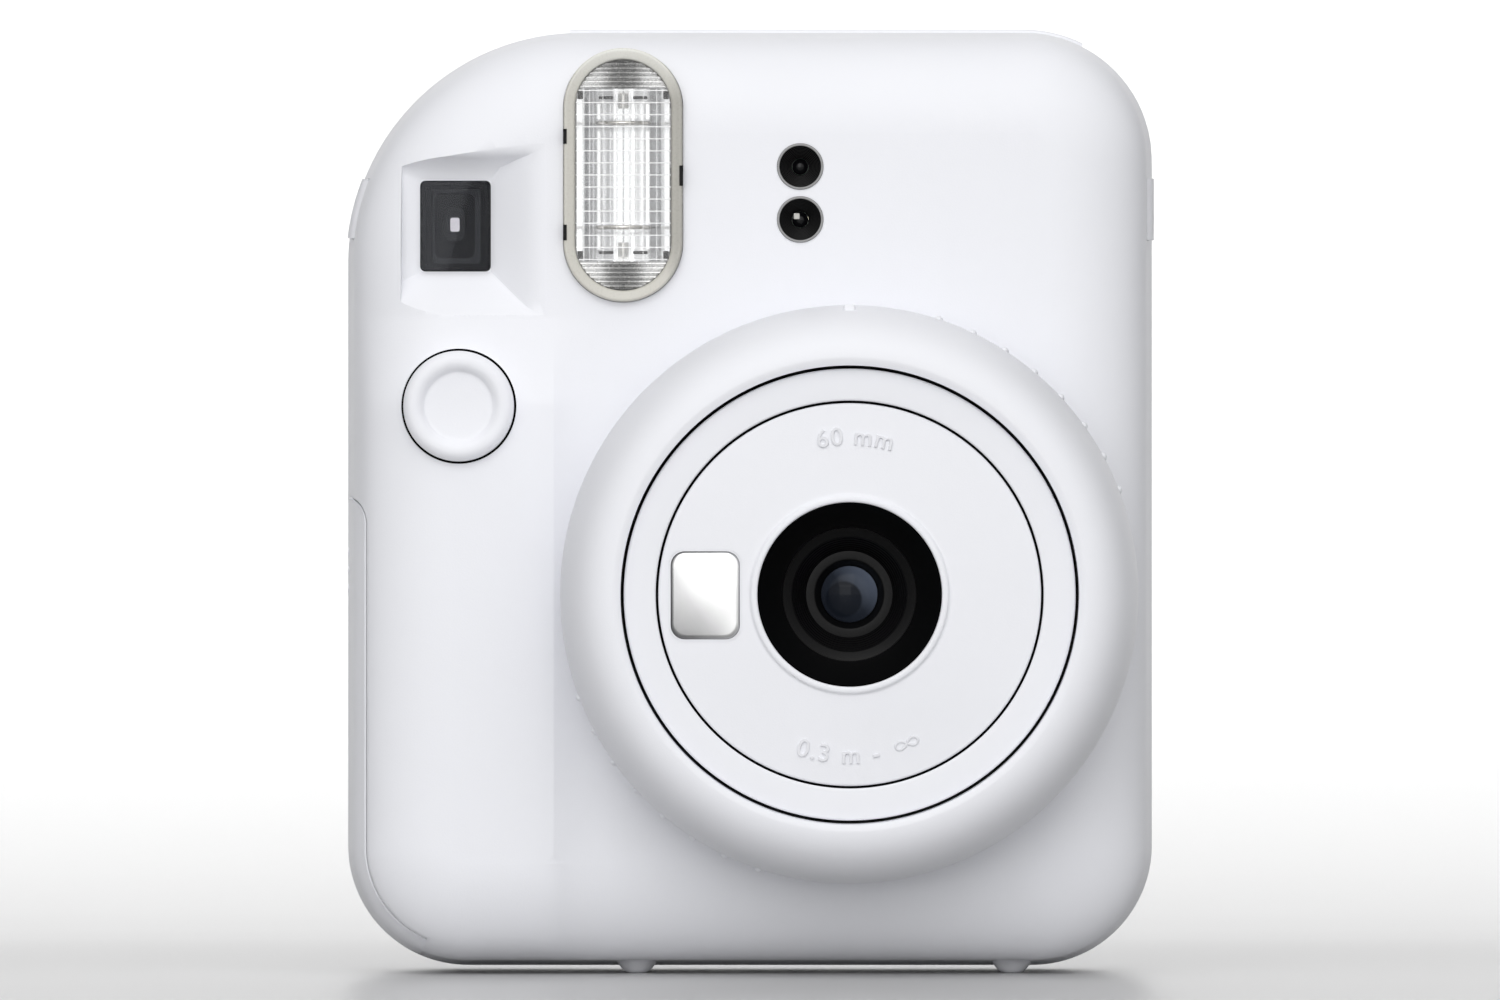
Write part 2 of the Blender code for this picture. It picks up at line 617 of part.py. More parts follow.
def make_battery_bay():
    outline = [(-27.6, 7.6), (-27.6, 63.4), (-43.9, 63.4), (-43.9, 13.0), (-39.0, 7.6)]
    holder = prism("battery_holder", outline, -7.0, 25.0)
    for name, y in CELL_YS.items():
        cut(holder, rod(f"cell_way_{name}", CELL_R + 0.35, 8.8, 61.8, (CELL_X, y), "z", 20))
        side = block(f"cell_side_{name}", (-60, y - CELL_R - 0.35, 8.8), (CELL_X, y + CELL_R + 0.35, 61.8))
        cut(holder, side)
    black(holder)
    for name, y in CELL_YS.items():
        tip = CELL_Z + CELL_LENGTH
        profile = [(0, CELL_Z), (6.6, CELL_Z), (CELL_R, CELL_Z + 0.7), (CELL_R, tip - 2.0), (6.4, tip - 1.3)]
        profile += [(2.75, tip - 1.3), (2.6, tip), (0, tip)]
        cell = turned(f"battery_{name}", profile, (CELL_X, y), "z", 20)
        finish_as(cell, (0.1, 0.11, 0.12, 1.0), 0.3, 0.6)
        spring = coil(f"battery_spring_{name}", (CELL_X, y), "z", 3.4, 0.3, 9.1, 10.7, 2)
        steel(spring)
    low, high = min(CELL_YS.values()) - 4.0, max(CELL_YS.values()) + 4.0
    steel(block("battery_contact_plate", (CELL_X - 4.0, low, 61.9), (CELL_X + 4.0, high, 62.5)))
    # the strip of the holder between the cells is cut back where the plate crosses it
    cut(holder, block("plate_way", (CELL_X - 4.3, low - 0.3, 61.6), (CELL_X + 4.3, high + 0.3, 62.8)))


def make_electronics():
    board = [(2.0, 88.2), (46.0, 88.2), (46.0, 106.0), (38.0, 112.0), (0.0, 112.0), (0.0, 92.0)]
    plate = prism("circuit_board", board, -5.6, -4.2)
    finish_as(plate, (0.03, 0.16, 0.07, 1.0), 0.4)
    capacitor = [(0, 58.0), (4.3, 58.0), (4.8, 58.5), (4.8, 85.0), (4.3, 85.5), (0, 85.5)]
    can = turned("flash_capacitor", capacitor, (-18.0, 1.0), "z", 20)
    finish_as(can, (0.05, 0.06, 0.09, 1.0), 0.35)


def gear(name, centre, teeth, module, phase, bore, low, high):
    """A spur gear about an axis along X, its origin on that axis."""
    wheel = prism(name, gear_outline((0, 0), teeth, module, phase), low, high, "x")
    wheel.location = Vector((0, centre[0], centre[1])) * MM
    if bore:
        cutter = rod(f"{name}_bore", bore, low - 2, high + 2, (0, 0), "x", 16)
        cutter.location = wheel.location
        cut(wheel, cutter)
    return wheel


def idler_centre(roller_y):
    """Where the idler meshes with both the motor pinion and the roller gear."""
    to_pinion = GEAR_MODULE * (PINION_TEETH + IDLER_TEETH) / 2
    to_roller = GEAR_MODULE * (ROLLER_TEETH + IDLER_TEETH) / 2
    dy, dz = roller_y - MOTOR_Y, ROLLER_Z - MOTOR_Z
    span = math.hypot(dy, dz)
    along = (to_pinion**2 - to_roller**2 + span**2) / (2 * span)
    across = math.sqrt(to_pinion**2 - along**2)
    return (
        MOTOR_Y + along * dy / span - across * dz / span,
        MOTOR_Z + along * dz / span + across * dy / span,
    )


def meshing_phase(centre, teeth, partner, partner_teeth, partner_phase):
    """The turn that puts one of this gear's gaps on the partner's tooth nearest their line."""
    line = math.atan2(partner[1] - centre[1], partner[0] - centre[0])
    back = line + math.pi
    step = math.tau / partner_teeth
    off = ((back - partner_phase) / step + 0.5) % 1.0 - 0.5  # pitches past the partner's tooth
    return line + math.tau / teeth * (0.5 + off)


def make_eject_drive():
    lower_y, upper_y = EXIT_Y - ROLLER_R - NIP, EXIT_Y + ROLLER_R + NIP
    x0, x1 = GEAR_X
    roller = (lower_y, ROLLER_Z)
    idler = idler_centre(lower_y)
    motor = (MOTOR_Y, MOTOR_Z)
    idler_phase = meshing_phase(idler, IDLER_TEETH, motor, PINION_TEETH, 0.0)
    roller_phase = meshing_phase(roller, ROLLER_TEETH, idler, IDLER_TEETH, idler_phase)
    brass = (0.75, 0.6, 0.3, 1.0)
    finish_as(gear("motor_pinion", motor, PINION_TEETH, GEAR_MODULE, 0.0, 1.08, x0, x1), brass, 0.3, 1.0)
    white(gear("idler_gear", idler, IDLER_TEETH, GEAR_MODULE, idler_phase, 1.56, x0, x1))
    white(gear("roller_gear", roller, ROLLER_TEETH, GEAR_MODULE, roller_phase, SHAFT_R + 0.06, x0, x1))

    axle = [(0, x0 - 1.0), (2.4, x0 - 1.0), (2.4, x0 - 0.3), (1.5, x0 - 0.3), (1.5, x1 + 0.5), (2.4, x1 + 0.5)]
    axle += [(2.4, x1 + 1.1), (0, x1 + 1.1)]
    steel(turned("idler_axle", axle, idler, "x", 16))
    body = [(0, -41.0), (MOTOR_R, -41.0), (MOTOR_R, -26.6), (2.4, -26.6), (2.4, -25.6), (1.0, -25.6)]
    body += [(1.0, x1 + 0.6), (0, x1 + 0.6)]
    steel(turned("eject_motor", body, motor, "x", 20))

    sync_low, sync_high = 45.4, 47.0
    phase = 0.0
    other = meshing_phase((upper_y, ROLLER_Z), SYNC_TEETH, roller, SYNC_TEETH, phase)
    for name, y, start, turn in (("drive_roller", lower_y, x0 - 0.8, phase), ("pressure_roller", upper_y, -20.6, other)):
        r = ROLLER_R
        profile = [(0, start), (SHAFT_R, start), (SHAFT_R, -17.6), (r, -17.6), (r, 42.6), (SHAFT_R, 42.6)]
        profile += [(SHAFT_R, sync_high - 0.4), (0, sync_high - 0.4)]
        piece = turned(name, profile, (0, 0), "x", 16)
        piece.location = Vector((0, y, ROLLER_Z)) * MM
        teeth = gear(f"{name}_teeth", (y, ROLLER_Z), SYNC_TEETH, SYNC_MODULE, turn, 0, sync_low, sync_high)
        steel(join(piece, teeth))

    frame = rectangle(EXIT_Y, ROLLER_Z, 16.0, 7.4)
    bracket = prism("roller_bracket", frame, -19.4, 44.4, "x")
    cut(bracket, block("roller_room", (-18.4, EXIT_Y - 7.2, 100), (43.4, EXIT_Y + 7.2, 116)))
    for name, y in (("lower", lower_y), ("upper", upper_y)):
        cut(bracket, rod(f"bearing_{name}", SHAFT_R + 0.08, -30, 60, (y, ROLLER_Z), "x", 16))
    steel(bracket)


# ---------------------------------------------------------------- back


def make_film_door():
    door = body_solid("film_door")
    cut(door, block("door_limit_front", (-60, -30, -5), (60, DOOR_SPLIT_Y, 130)))
    cut(door, block("door_limit_left", (-60, -40, -6), (DOOR_EDGE_X, 61, 131)))
    cut(door, hollow("door_cavity"))
    middle = (HINGE_Z[0] + HINGE_Z[1]) / 2
    low, high = (HINGE_X - 0.65, HINGE_Y, HINGE_Z[0] + 0.01), (HINGE_X + 0.65, HINGE_Y + 2.2, HINGE_Z[1] - 0.01)
    arm = block("hinge_arm", low, high)
    barrel = rod("hinge_barrel", HINGE_R, HINGE_Z[0], HINGE_Z[1], (HINGE_X, HINGE_Y), "z", 16)
    join(door, arm, barrel)
    cut(door, rod("hinge_bore", PIN_R + 0.06, 10, 110, (HINGE_X, HINGE_Y), "z", 12))
    cut(door, prism("pack_window_hole", rectangle(FILM_X, middle - 8, 9.0, 24.0, 4.0), 25, 40))
    low, high = (DOOR_EDGE_X - 1, 31.3, LATCH_Z - 8.0), (DOOR_EDGE_X + 5.8, 36, LATCH_Z + 8.0)
    bed = block("latch_bed", (DOOR_EDGE_X, 30.0, low[2] - 1.5), (high[0] + 1.5, 32.0, high[2] + 1.5))
    white(cut(join(door, bed), block("latch_notch", low, high)))
    clear(prism("film_window", rectangle(FILM_X, middle - 8, 8.4, 23.4, 3.7), 31.5, 33.0))
    steel(rod("door_hinge_pin", PIN_R, HINGE_Z[0] - 3.0, HINGE_Z[1] + 3.0, (HINGE_X, HINGE_Y), "z", 12))


def make_latch():
    outline = rectangle(DOOR_EDGE_X - 1.0, LATCH_Z, 8.6, 15.0, 1.6, 3)
    latch = prism("door_latch", outline, 31.6, 33.2)
    for x in (-4.0, -2.4, -0.8, 0.8, 2.4):
        low = (DOOR_EDGE_X - 1.0 + x - 0.3, 32.8, LATCH_Z - 5.0)
        cut(latch, block(f"latch_groove_{x}", low, (low[0] + 0.6, 35, LATCH_Z + 5.0)))
    return white(latch)


def make_pressure_plate():
    """A leaf spring on the door that presses two pads into the back of the film pack."""
    bar = block("pressure_plate", (FILM_X - 18.0, 30.4, 62.0), (FILM_X + 18.0, 31.0, 76.0))
    return steel(bar)


def make_counter():
    clear(prism("counter_window", rectangle(COUNTER_X, COUNTER_Z + 6.0, 6.0, 6.0, 1.2, 3), 31.6, 33.0))
    dial = [(0, 27.6), (8.0, 27.6), (8.0, 28.6), (1.4, 28.6), (1.4, 30.4), (0, 30.4)]
    white(turned("counter_dial", dial, (COUNTER_X, COUNTER_Z), "y", 28))


def make_screws():
    for name, x in (("left", -30.0), ("right", 26.0)):
        profile = [(0, FOOT + 0.1), (1.7, FOOT + 0.1), (1.7, FOOT + 0.9), (0.9, FOOT + 0.9), (0.9, FOOT + 4.6), (0, FOOT + 4.6)]
        screw = turned(f"housing_screw_{name}", profile, (x, 14.0), "z", 16)
        drive = block(f"screw_slot_{name}", (x - 1.0, 13.8, FOOT - 1), (x + 1.0, 14.2, FOOT + 0.5))
        steel(cut(screw, drive))


clear_scene()
make_front_shell()
make_rear_shell()
make_exit_cover()
make_exit_flap()
make_battery_cover()
make_strap_lugs()
make_flash()
make_viewfinder()
make_sensors()
make_shutter_button()
make_lens()
make_chassis()
make_film_pack()
make_battery_bay()
make_electronics()
make_eject_drive()
make_film_door()
make_latch()
make_pressure_plate()
make_counter()
make_screws()
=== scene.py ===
"""Instant camera: the finished surfaces and materials, built round the fixed frame."""

import json
import math

import bmesh
import bpy
import numpy as np
from bpy.props import FloatProperty, FloatVectorProperty, PointerProperty
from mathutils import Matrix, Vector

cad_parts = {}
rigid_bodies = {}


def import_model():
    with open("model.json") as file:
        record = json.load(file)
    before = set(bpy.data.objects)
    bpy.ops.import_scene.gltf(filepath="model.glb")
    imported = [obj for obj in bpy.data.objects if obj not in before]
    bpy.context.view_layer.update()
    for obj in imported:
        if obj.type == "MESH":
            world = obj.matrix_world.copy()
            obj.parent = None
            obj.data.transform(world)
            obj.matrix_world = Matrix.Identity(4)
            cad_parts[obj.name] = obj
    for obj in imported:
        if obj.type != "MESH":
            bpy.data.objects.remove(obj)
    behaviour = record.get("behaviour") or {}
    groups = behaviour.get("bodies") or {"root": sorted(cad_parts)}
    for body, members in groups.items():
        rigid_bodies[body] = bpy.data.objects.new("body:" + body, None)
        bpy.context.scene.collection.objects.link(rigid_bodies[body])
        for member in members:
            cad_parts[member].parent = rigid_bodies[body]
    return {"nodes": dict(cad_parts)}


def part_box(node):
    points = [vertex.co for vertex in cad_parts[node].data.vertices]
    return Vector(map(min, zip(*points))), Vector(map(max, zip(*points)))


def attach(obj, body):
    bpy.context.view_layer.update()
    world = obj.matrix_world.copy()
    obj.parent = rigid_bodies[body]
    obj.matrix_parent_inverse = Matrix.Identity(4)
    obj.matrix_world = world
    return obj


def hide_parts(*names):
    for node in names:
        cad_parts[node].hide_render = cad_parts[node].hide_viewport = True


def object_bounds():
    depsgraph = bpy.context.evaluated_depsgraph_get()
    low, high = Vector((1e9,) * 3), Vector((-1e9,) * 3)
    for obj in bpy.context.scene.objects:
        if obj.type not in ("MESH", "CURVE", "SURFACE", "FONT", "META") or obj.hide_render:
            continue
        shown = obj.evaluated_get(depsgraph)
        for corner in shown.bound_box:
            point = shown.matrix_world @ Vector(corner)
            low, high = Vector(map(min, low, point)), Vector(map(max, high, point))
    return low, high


bl_info = {
    "name": "Instant Camera Finish",
    "version": (1, 0, 0),
    "blender": (4, 5, 0),
    "location": "3D View > Sidebar > Camera",
    "description": "Moulded casings, lens, flash and inner works of an instant camera",
    "category": "Object",
}

for leftover in list(bpy.data.objects):
    bpy.data.objects.remove(leftover)
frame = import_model()
CAD_BOX = [[float(v) for v in corner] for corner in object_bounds()]
MM = 0.001
TAU = math.tau


def box_mm(node):
    """A node's lowest and highest corner in millimetres."""
    return [np.array(corner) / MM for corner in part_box(node)]


def middle_mm(node):
    low, high = box_mm(node)
    return (low + high) / 2


# ---------------------------------------------------------------- places read from the frame, in mm

SHELL_LOW, SHELL_HIGH = box_mm("front_shell")
REAR_HIGH = box_mm("rear_shell")[1]
DIAL_LOW, DIAL_HIGH = box_mm("lens_ring")
LENS_X, _, LENS_Z = middle_mm("lens_ring")
DIAL_R = (DIAL_HIGH[0] - DIAL_LOW[0]) / 2
DIAL_FRONT = DIAL_LOW[1]
MID_FRONT = box_mm("lens_mid_tube")[0][1]
MID_R = (box_mm("lens_mid_tube")[1][0] - box_mm("lens_mid_tube")[0][0]) / 2
PANEL_FRONT = box_mm("lens_front_panel")[0][1] + 0.5
PANEL_R = (box_mm("lens_front_panel")[1][0] - box_mm("lens_front_panel")[0][0]) / 2
HALF_WIDTH, BODY_TOP, FOOT = CAD_BOX[1][0] / MM, REAR_HIGH[2], 0.9
SEAM_Y, BACK_Y = SHELL_HIGH[1], REAR_HIGH[1]
GRIP_RISE, CREASE_X = 1.6, -25.2
FRONT_Y = SHELL_LOW[1] + GRIP_RISE
WALL, DRAFT = 2.0, 0.8
FLASH, FINDER, BUTTON = middle_mm("flash_bezel"), middle_mm("viewfinder_window"), middle_mm("shutter_button")
LENS_HOLE_R, START_R = MID_R + 2.2, 22.0
CORNERS = (  # centre x, centre z, radius, first angle
    (HALF_WIDTH - 16.5, BODY_TOP - 16.5, 16.5, 0),
    (-HALF_WIDTH + 30.0, BODY_TOP - 30.0, 30.0, 90),
    (-HALF_WIDTH + 15.5, FOOT + 15.5, 15.5, 180),
    (HALF_WIDTH - 15.5, FOOT + 15.5, 15.5, 270),
)
COVER_IN = 2.6
COVER_TOP = box_mm("battery_cover")[1][2]
COVER_END_X = box_mm("battery_cover")[1][0]
DOOR_EDGE_X, DOOR_SPLIT_Y = box_mm("film_door")[0][0], 25.3
LATCH = middle_mm("door_latch")
EYEPIECE, COUNTER = middle_mm("viewfinder_eyepiece"), middle_mm("counter_window")
STRIP_LOW, STRIP_HIGH = box_mm("exit_cover")


# ---------------------------------------------------------------- sizes and colours a user may change


class CameraShape(bpy.types.PropertyGroup):
    edge_across: FloatProperty(
        name="Edge across", description="How far the rounded front edge reaches over the face",
        default=12.5 * MM, unit="LENGTH",
    )
    edge_deep: FloatProperty(
        name="Edge depth", description="How deep the rounded front edge runs back",
        default=9.0 * MM, unit="LENGTH",
    )
    dish: FloatProperty(
        name="Button dish", description="Depth of the dish in the release button",
        default=0.9 * MM, unit="LENGTH",
    )


class CameraColours(bpy.types.PropertyGroup):
    casing: FloatVectorProperty(
        name="Casing", description="Colour of the moulded casings", subtype="COLOR",
        default=(0.865, 0.872, 0.91), min=0.0, max=1.0,
    )
    bezel: FloatVectorProperty(
        name="Flash bezel", description="Colour of the bezel round the flash", subtype="COLOR",
        default=(0.60, 0.585, 0.53), min=0.0, max=1.0,
    )
    moulding: FloatVectorProperty(
        name="Black moulding", description="Colour of the black inner pieces", subtype="COLOR",
        default=(0.012, 0.012, 0.013), min=0.0, max=1.0,
    )


# ---------------------------------------------------------------- shader expressions


class Value:
    """A shader number: arithmetic on it adds Math nodes to its tree."""

    def __init__(self, finish, socket):
        self.finish, self.socket = finish, socket

    def _math(self, operation, first, second=None):
        values = {0: first} if second is None else {0: first, 1: second}
        return self.finish.node("ShaderNodeMath", {"operation": operation}, values)[0]

    def __add__(self, other):
        return self._math("ADD", self, other)

    def __sub__(self, other):
        return self._math("SUBTRACT", self, other)

    def __rsub__(self, other):
        return self._math("SUBTRACT", other, self)

    def __mul__(self, other):
        return self._math("MULTIPLY", self, other)

    def __truediv__(self, other):
        return self._math("DIVIDE", self, other)

    def __pow__(self, other):
        return self._math("POWER", self, other)

    __radd__ = __add__
    __rmul__ = __mul__

    def below(self, other):
        return self._math("LESS_THAN", self, other)

    def above(self, other):
        return self._math("GREATER_THAN", self, other)

    def size(self):
        return self._math("ABSOLUTE", self)

    def at_least(self, other):
        return self._math("MAXIMUM", self, other)

    def fraction(self):
        return self._math("FRACT", self)


class Nodes:
    """A node tree under construction."""

    def __init__(self, tree):
        self.tree, self.coordinates = tree, None

    def set(self, node, values):
        for key, value in values.items():
            if isinstance(key, str):
                key = key.replace("_", " ").title().replace("Ior", "IOR")
            socket = node.inputs[key]
            if isinstance(value, Value):
                self.tree.links.new(value.socket, socket)
            elif socket.type == "RGBA" and len(value) == 3:
                socket.default_value = (*value, 1.0)
            else:
                socket.default_value = value

    def node(self, kind, settings=None, values=None):
        """Add a node with its settings and its input values or links; returns its outputs."""
        node = self.tree.nodes.new(kind)
        for key, value in (settings or {}).items():
            setattr(node, key, value)
        self.set(node, values or {})
        return [Value(self, out) for out in node.outputs]

    def place(self):
        """Object coordinates of the point."""
        if self.coordinates is None:
            node = self.tree.nodes.new("ShaderNodeTexCoord")
            self.coordinates = Value(self, node.outputs["Object"])
        return self.coordinates

    def axes(self):
        return self.node("ShaderNodeSeparateXYZ", None, {0: self.place()})[:3]

    def noise(self, grain, detail=2.0, stretch=(1, 1, 1)):
        """Noise between 0 and 1 with a grain of that many metres."""
        place = {0: self.place(), 1: stretch}
        scaled = self.node("ShaderNodeVectorMath", {"operation": "MULTIPLY"}, place)[0]
        values = {"vector": scaled, "scale": 1 / grain, "detail": detail}
        return self.node("ShaderNodeTexNoise", None, values)[0]

    def mix(self, factor, first, second):
        node = self.tree.nodes.new("ShaderNodeMix")
        node.data_type = "RGBA"
        for index, value in ((0, factor), (6, first), (7, second)):
            self.set_index(node, index, value)
        return Value(self, node.outputs[2])

    def set_index(self, node, index, value):
        if isinstance(value, Value):
            self.tree.links.new(value.socket, node.inputs[index])
        elif isinstance(value, (int, float)):
            node.inputs[index].default_value = value
        else:
            node.inputs[index].default_value = (*value[:3], 1.0)


class Finish(Nodes):
    """A Principled material under construction."""

    def __init__(self, name, **constants):
        self.material = bpy.data.materials.new(name)
        self.material.use_nodes = True
        super().__init__(self.material.node_tree)
        self.shader = self.tree.nodes["Principled BSDF"]
        self.set(self.shader, constants)

    def bump(self, height, distance):
        values = {"height": height, "distance": distance, "strength": 1.0}
        normal = self.node("ShaderNodeBump", None, values)[0]
        self.set(self.shader, {"normal": normal})

    def paint(self, **values):
        self.set(self.shader, values)
        return self.material


def shade(colour, factor):
    return tuple(min(1.0, c * factor) for c in colour[:3])


def moulded(name, colour, roughness=0.42, grain=0.00022, depth=0.000012, spread=0.03, specular=0.5):
    """Moulded plastic: an even spark-eroded grain, a slow drift of gloss and the faintest drift of tone."""
    finish = Finish(name, ior=1.46, specular_ior_level=specular)
    slow = finish.noise(0.02, 3.0)
    fine = finish.noise(grain, 3.0)
    colour = tuple(colour)
    tone = finish.mix(slow, shade(colour, 1 - spread), shade(colour, 1 + spread * 0.4))
    finish.bump(fine, depth)
    finish.paint(base_color=tone, roughness=slow * 0.08 + fine * 0.08 + (roughness - 0.08))
    return finish.material


def metal(name, colour, roughness=0.25, along="x", grain=0.0002):
    """Drawn metal: fine scratches that run along one axis, with smudges of duller metal."""
    stretch = {"x": (0.03, 1, 1), "y": (1, 0.03, 1), "z": (1, 1, 0.03), "all": (1, 1, 1)}[along]
    finish = Finish(name, metallic=1.0)
    lines = finish.noise(grain, 3.0, stretch)
    smudge = finish.noise(0.006, 4.0)
    finish.bump(lines, 0.000006)
    tone = finish.mix(smudge, shade(colour, 0.82), shade(colour, 1.05))
    return finish.paint(base_color=tone, roughness=lines * 0.18 + smudge * 0.1 + (roughness - 0.12))


def clear_plastic(name, tint=(0.9, 0.93, 0.95), alpha=0.2, roughness=0.04):
    """Polished clear plastic: the faintest haze, and flow marks that change its gloss."""
    finish = Finish(name, ior=1.49, coat_weight=0.4, coat_roughness=0.02)
    flow = finish.noise(0.008, 2.0)
    return finish.paint(
        base_color=finish.mix(flow, tint, shade(tint, 0.96)), alpha=flow * 0.05 + (alpha - 0.025),
        roughness=flow * 0.03 + roughness,
    )


# ---------------------------------------------------------------- surfaces


def closed_mesh(name, points, faces):
    """A mesh from points in millimetres with every face turned outward."""
    mesh = bpy.data.meshes.new(name)
    points = np.asarray(points, float).reshape(-1, 3) * MM
    mesh.from_pydata(points.tolist(), [], [tuple(int(i) for i in f) for f in faces])
    work = bmesh.new()
    work.from_mesh(mesh)
    bmesh.ops.recalc_face_normals(work, faces=work.faces)
    work.to_mesh(mesh)
    work.free()
    return mesh


def piece(name, points, faces, body, material, replaces=(), sharp=35):
    """A closed mesh as an object. It rides on a body, stands for the CAD nodes it replaces, and is
    shaded smooth."""
    obj = bpy.data.objects.new(name, closed_mesh(name, points, faces))
    bpy.context.scene.collection.objects.link(obj)
    return dress(obj, body, material, replaces, sharp)


def dress(obj, body, material, replaces=(), sharp=35):
    obj.data.materials.clear()
    obj.data.materials.append(material)
    obj.data.shade_smooth()
    obj.data.set_sharp_from_angle(angle=math.radians(sharp))
    if body:
        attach(obj, body)
    if replaces:
        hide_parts(*replaces)
    return obj


def grid_faces(rows, columns, rows_close=False, columns_close=True, start=0):
    """Quads of a grid that is numbered row by row."""
    r, c = np.meshgrid(
        np.arange(rows if rows_close else rows - 1),
        np.arange(columns if columns_close else columns - 1), indexing="ij",
    )
    r2, c2 = (r + 1) % rows, (c + 1) % columns
    quads = np.stack([r * columns + c, r * columns + c2, r2 * columns + c2, r2 * columns + c], -1)
    return (quads.reshape(-1, 4) + start).tolist()


def along(axis, u, v, h):
    """Points at u, v across an axis and h along it."""
    u, v, h = np.broadcast_arrays(u, v, h)
    return np.stack({"x": (h, u, v), "y": (u, h, v), "z": (u, v, h)}[axis], -1)


def eased(points, segments=5):
    """A profile of (a, b, radius) corners: each corner becomes a curve that leaves the first side and
    joins the second at that distance from the corner (a quadratic curve with the corner as its control)."""
    done = []
    t = np.linspace(0, 1, segments + 1)[:, None]
    for i, (a, b, radius) in enumerate(points):
        here = np.array([a, b], float)
        if radius <= 0:
            done.append(here[None])
            continue
        before, after = np.array(points[i - 1][:2]), np.array(points[(i + 1) % len(points)][:2])
        start = here + (before - here) * min(0.5, radius / max(np.linalg.norm(before - here), 1e-9))
        end = here + (after - here) * min(0.5, radius / max(np.linalg.norm(after - here), 1e-9))
        done.append((1 - t) ** 2 * start + 2 * t * (1 - t) * here + t**2 * end)
    return np.concatenate(done)


def turned_mesh(profile, centre, axis="y", steps=96, start=0):
    """Points and faces of a profile of (radius, height) turned about an axis: x = c + r cos a,
    z = c + r sin a. Radius 0 at an end makes a pole; with no pole the profile closes into a ring."""
    profile = np.asarray(profile, float)
    solid = profile[0, 0] == 0 and profile[-1, 0] == 0
    rings = profile[1:-1] if solid else profile
    angle = np.arange(steps) * TAU / steps
    u = centre[0] + rings[:, :1] * np.cos(angle)
    v = centre[1] + rings[:, :1] * np.sin(angle)
    points = along(axis, u, v, rings[:, 1:] + 0 * u).reshape(-1, 3)
    faces = grid_faces(len(rings), steps, not solid, True, start)
    if solid:
        poles = along(axis, centre[0], centre[1], profile[[0, -1], 1])
        low, high, last = start + len(points), start + len(points) + 1, (len(rings) - 1) * steps + start
        points = np.concatenate([points, poles])
        for i in range(steps):
            j = (i + 1) % steps
            faces += [(low, start + j, start + i), (high, last + i, last + j)]
    return points, faces


def turned(name, profile, centre, body, material, axis="y", steps=96, replaces=(), sharp=35):
    points, faces = turned_mesh(profile, centre, axis, steps)
    return piece(name, points, faces, body, material, replaces, sharp)


def round_rect(cx, cz, width, height, radius, steps=8):
    """The outline of a rectangle with round corners, as a function of how far it is drawn in."""
    def outline(inset=0.0):
        w, h, r = width / 2 - inset, height / 2 - inset, max(radius - inset, 0.02)
        turn = np.linspace(0, math.pi / 2, steps + 1)
        parts = []
        for i, (sx, sz) in enumerate(((1, 1), (-1, 1), (-1, -1), (1, -1))):
            a = turn + i * math.pi / 2
            parts.append(np.stack([cx + sx * (w - r) + r * np.cos(a), cz + sz * (h - r) + r * np.sin(a)], -1))
        return np.concatenate(parts)
    return outline


def stack_mesh(outline, profile, axis="y", ring=False, start=0):
    """Outlines drawn in by the first and placed at the second value of each profile row. A ring's
    profile closes on itself; otherwise the two end outlines are capped."""
    rows = np.array([along(axis, *outline(inset).T, height) for inset, height in profile])
    count = rows.shape[1]
    faces = grid_faces(len(rows), count, ring, True, start)
    if not ring:
        faces += [tuple(range(start, start + count))[::-1]]
        faces += [tuple(range(start + (len(rows) - 1) * count, start + len(rows) * count))]
    return rows.reshape(-1, 3), faces


def even(points, count=120):
    """A closed outline resampled at even steps along its length."""
    ring = np.concatenate([points, points[:1]])
    run = np.concatenate([[0], np.cumsum(np.linalg.norm(np.diff(ring, axis=0), axis=1))])
    at = np.linspace(0, run[-1], count, endpoint=False)
    return np.stack([np.interp(at, run, ring[:, 0]), np.interp(at, run, ring[:, 1])], -1)


def pillow_mesh(outline, centre, profile, width, height, bulge):
    """A stack whose last outline is closed by a bulging face: smaller and smaller copies of it, each
    raised by bulge (1 - u^2)(1 - v^2), where u and v run from -1 to 1 over the width and the height."""
    rows = [along("y", *even(outline(inset)).T, level) for inset, level in profile]
    edge, base, middle = even(outline(profile[-1][0])), profile[-1][1], np.array(centre)
    scales = np.linspace(1, 0, 12)[1:-1]
    rings = middle + scales[:, None, None] * (edge - middle)
    u, v = (rings[..., 0] - centre[0]) * 2 / width, (rings[..., 1] - centre[1]) * 2 / height
    rows += list(np.stack([rings[..., 0], base + bulge * (1 - u**2) * (1 - v**2), rings[..., 1]], -1))
    count, points = len(edge), np.concatenate(rows)
    points = np.concatenate([points, [(centre[0], base + bulge, centre[1])]])
    faces = grid_faces(len(rows), count, False, True)
    last = (len(rows) - 1) * count
    faces += [(len(points) - 1, last + i, last + (i + 1) % count) for i in range(count)]
    return points, [*faces, tuple(range(count))[::-1]]


def stack(name, outline, profile, body, material, axis="y", ring=False, replaces=(), sharp=35):
    """A stack of outlines as a piece; its normals are weighted by area, so that its flat faces look flat."""
    points, faces = stack_mesh(outline, profile, axis, ring)
    obj = piece(name, points, faces, body, material, replaces, sharp)
    obj.modifiers.new("flat_faces", "WEIGHTED_NORMAL").keep_sharp = True
    return obj


def slab(low, high, edge=0.3, steps=3):
    """The profile of a slab with rounded edges, as (inset, height) rows for a stack."""
    turn = np.linspace(0, math.pi / 2, steps + 1)
    rise = np.stack([edge * (1 - np.sin(turn)), low + edge * (1 - np.cos(turn))], -1)
    fall = np.stack([edge * (1 - np.cos(turn)), high - edge * (1 - np.sin(turn))], -1)
    return np.concatenate([rise, fall])


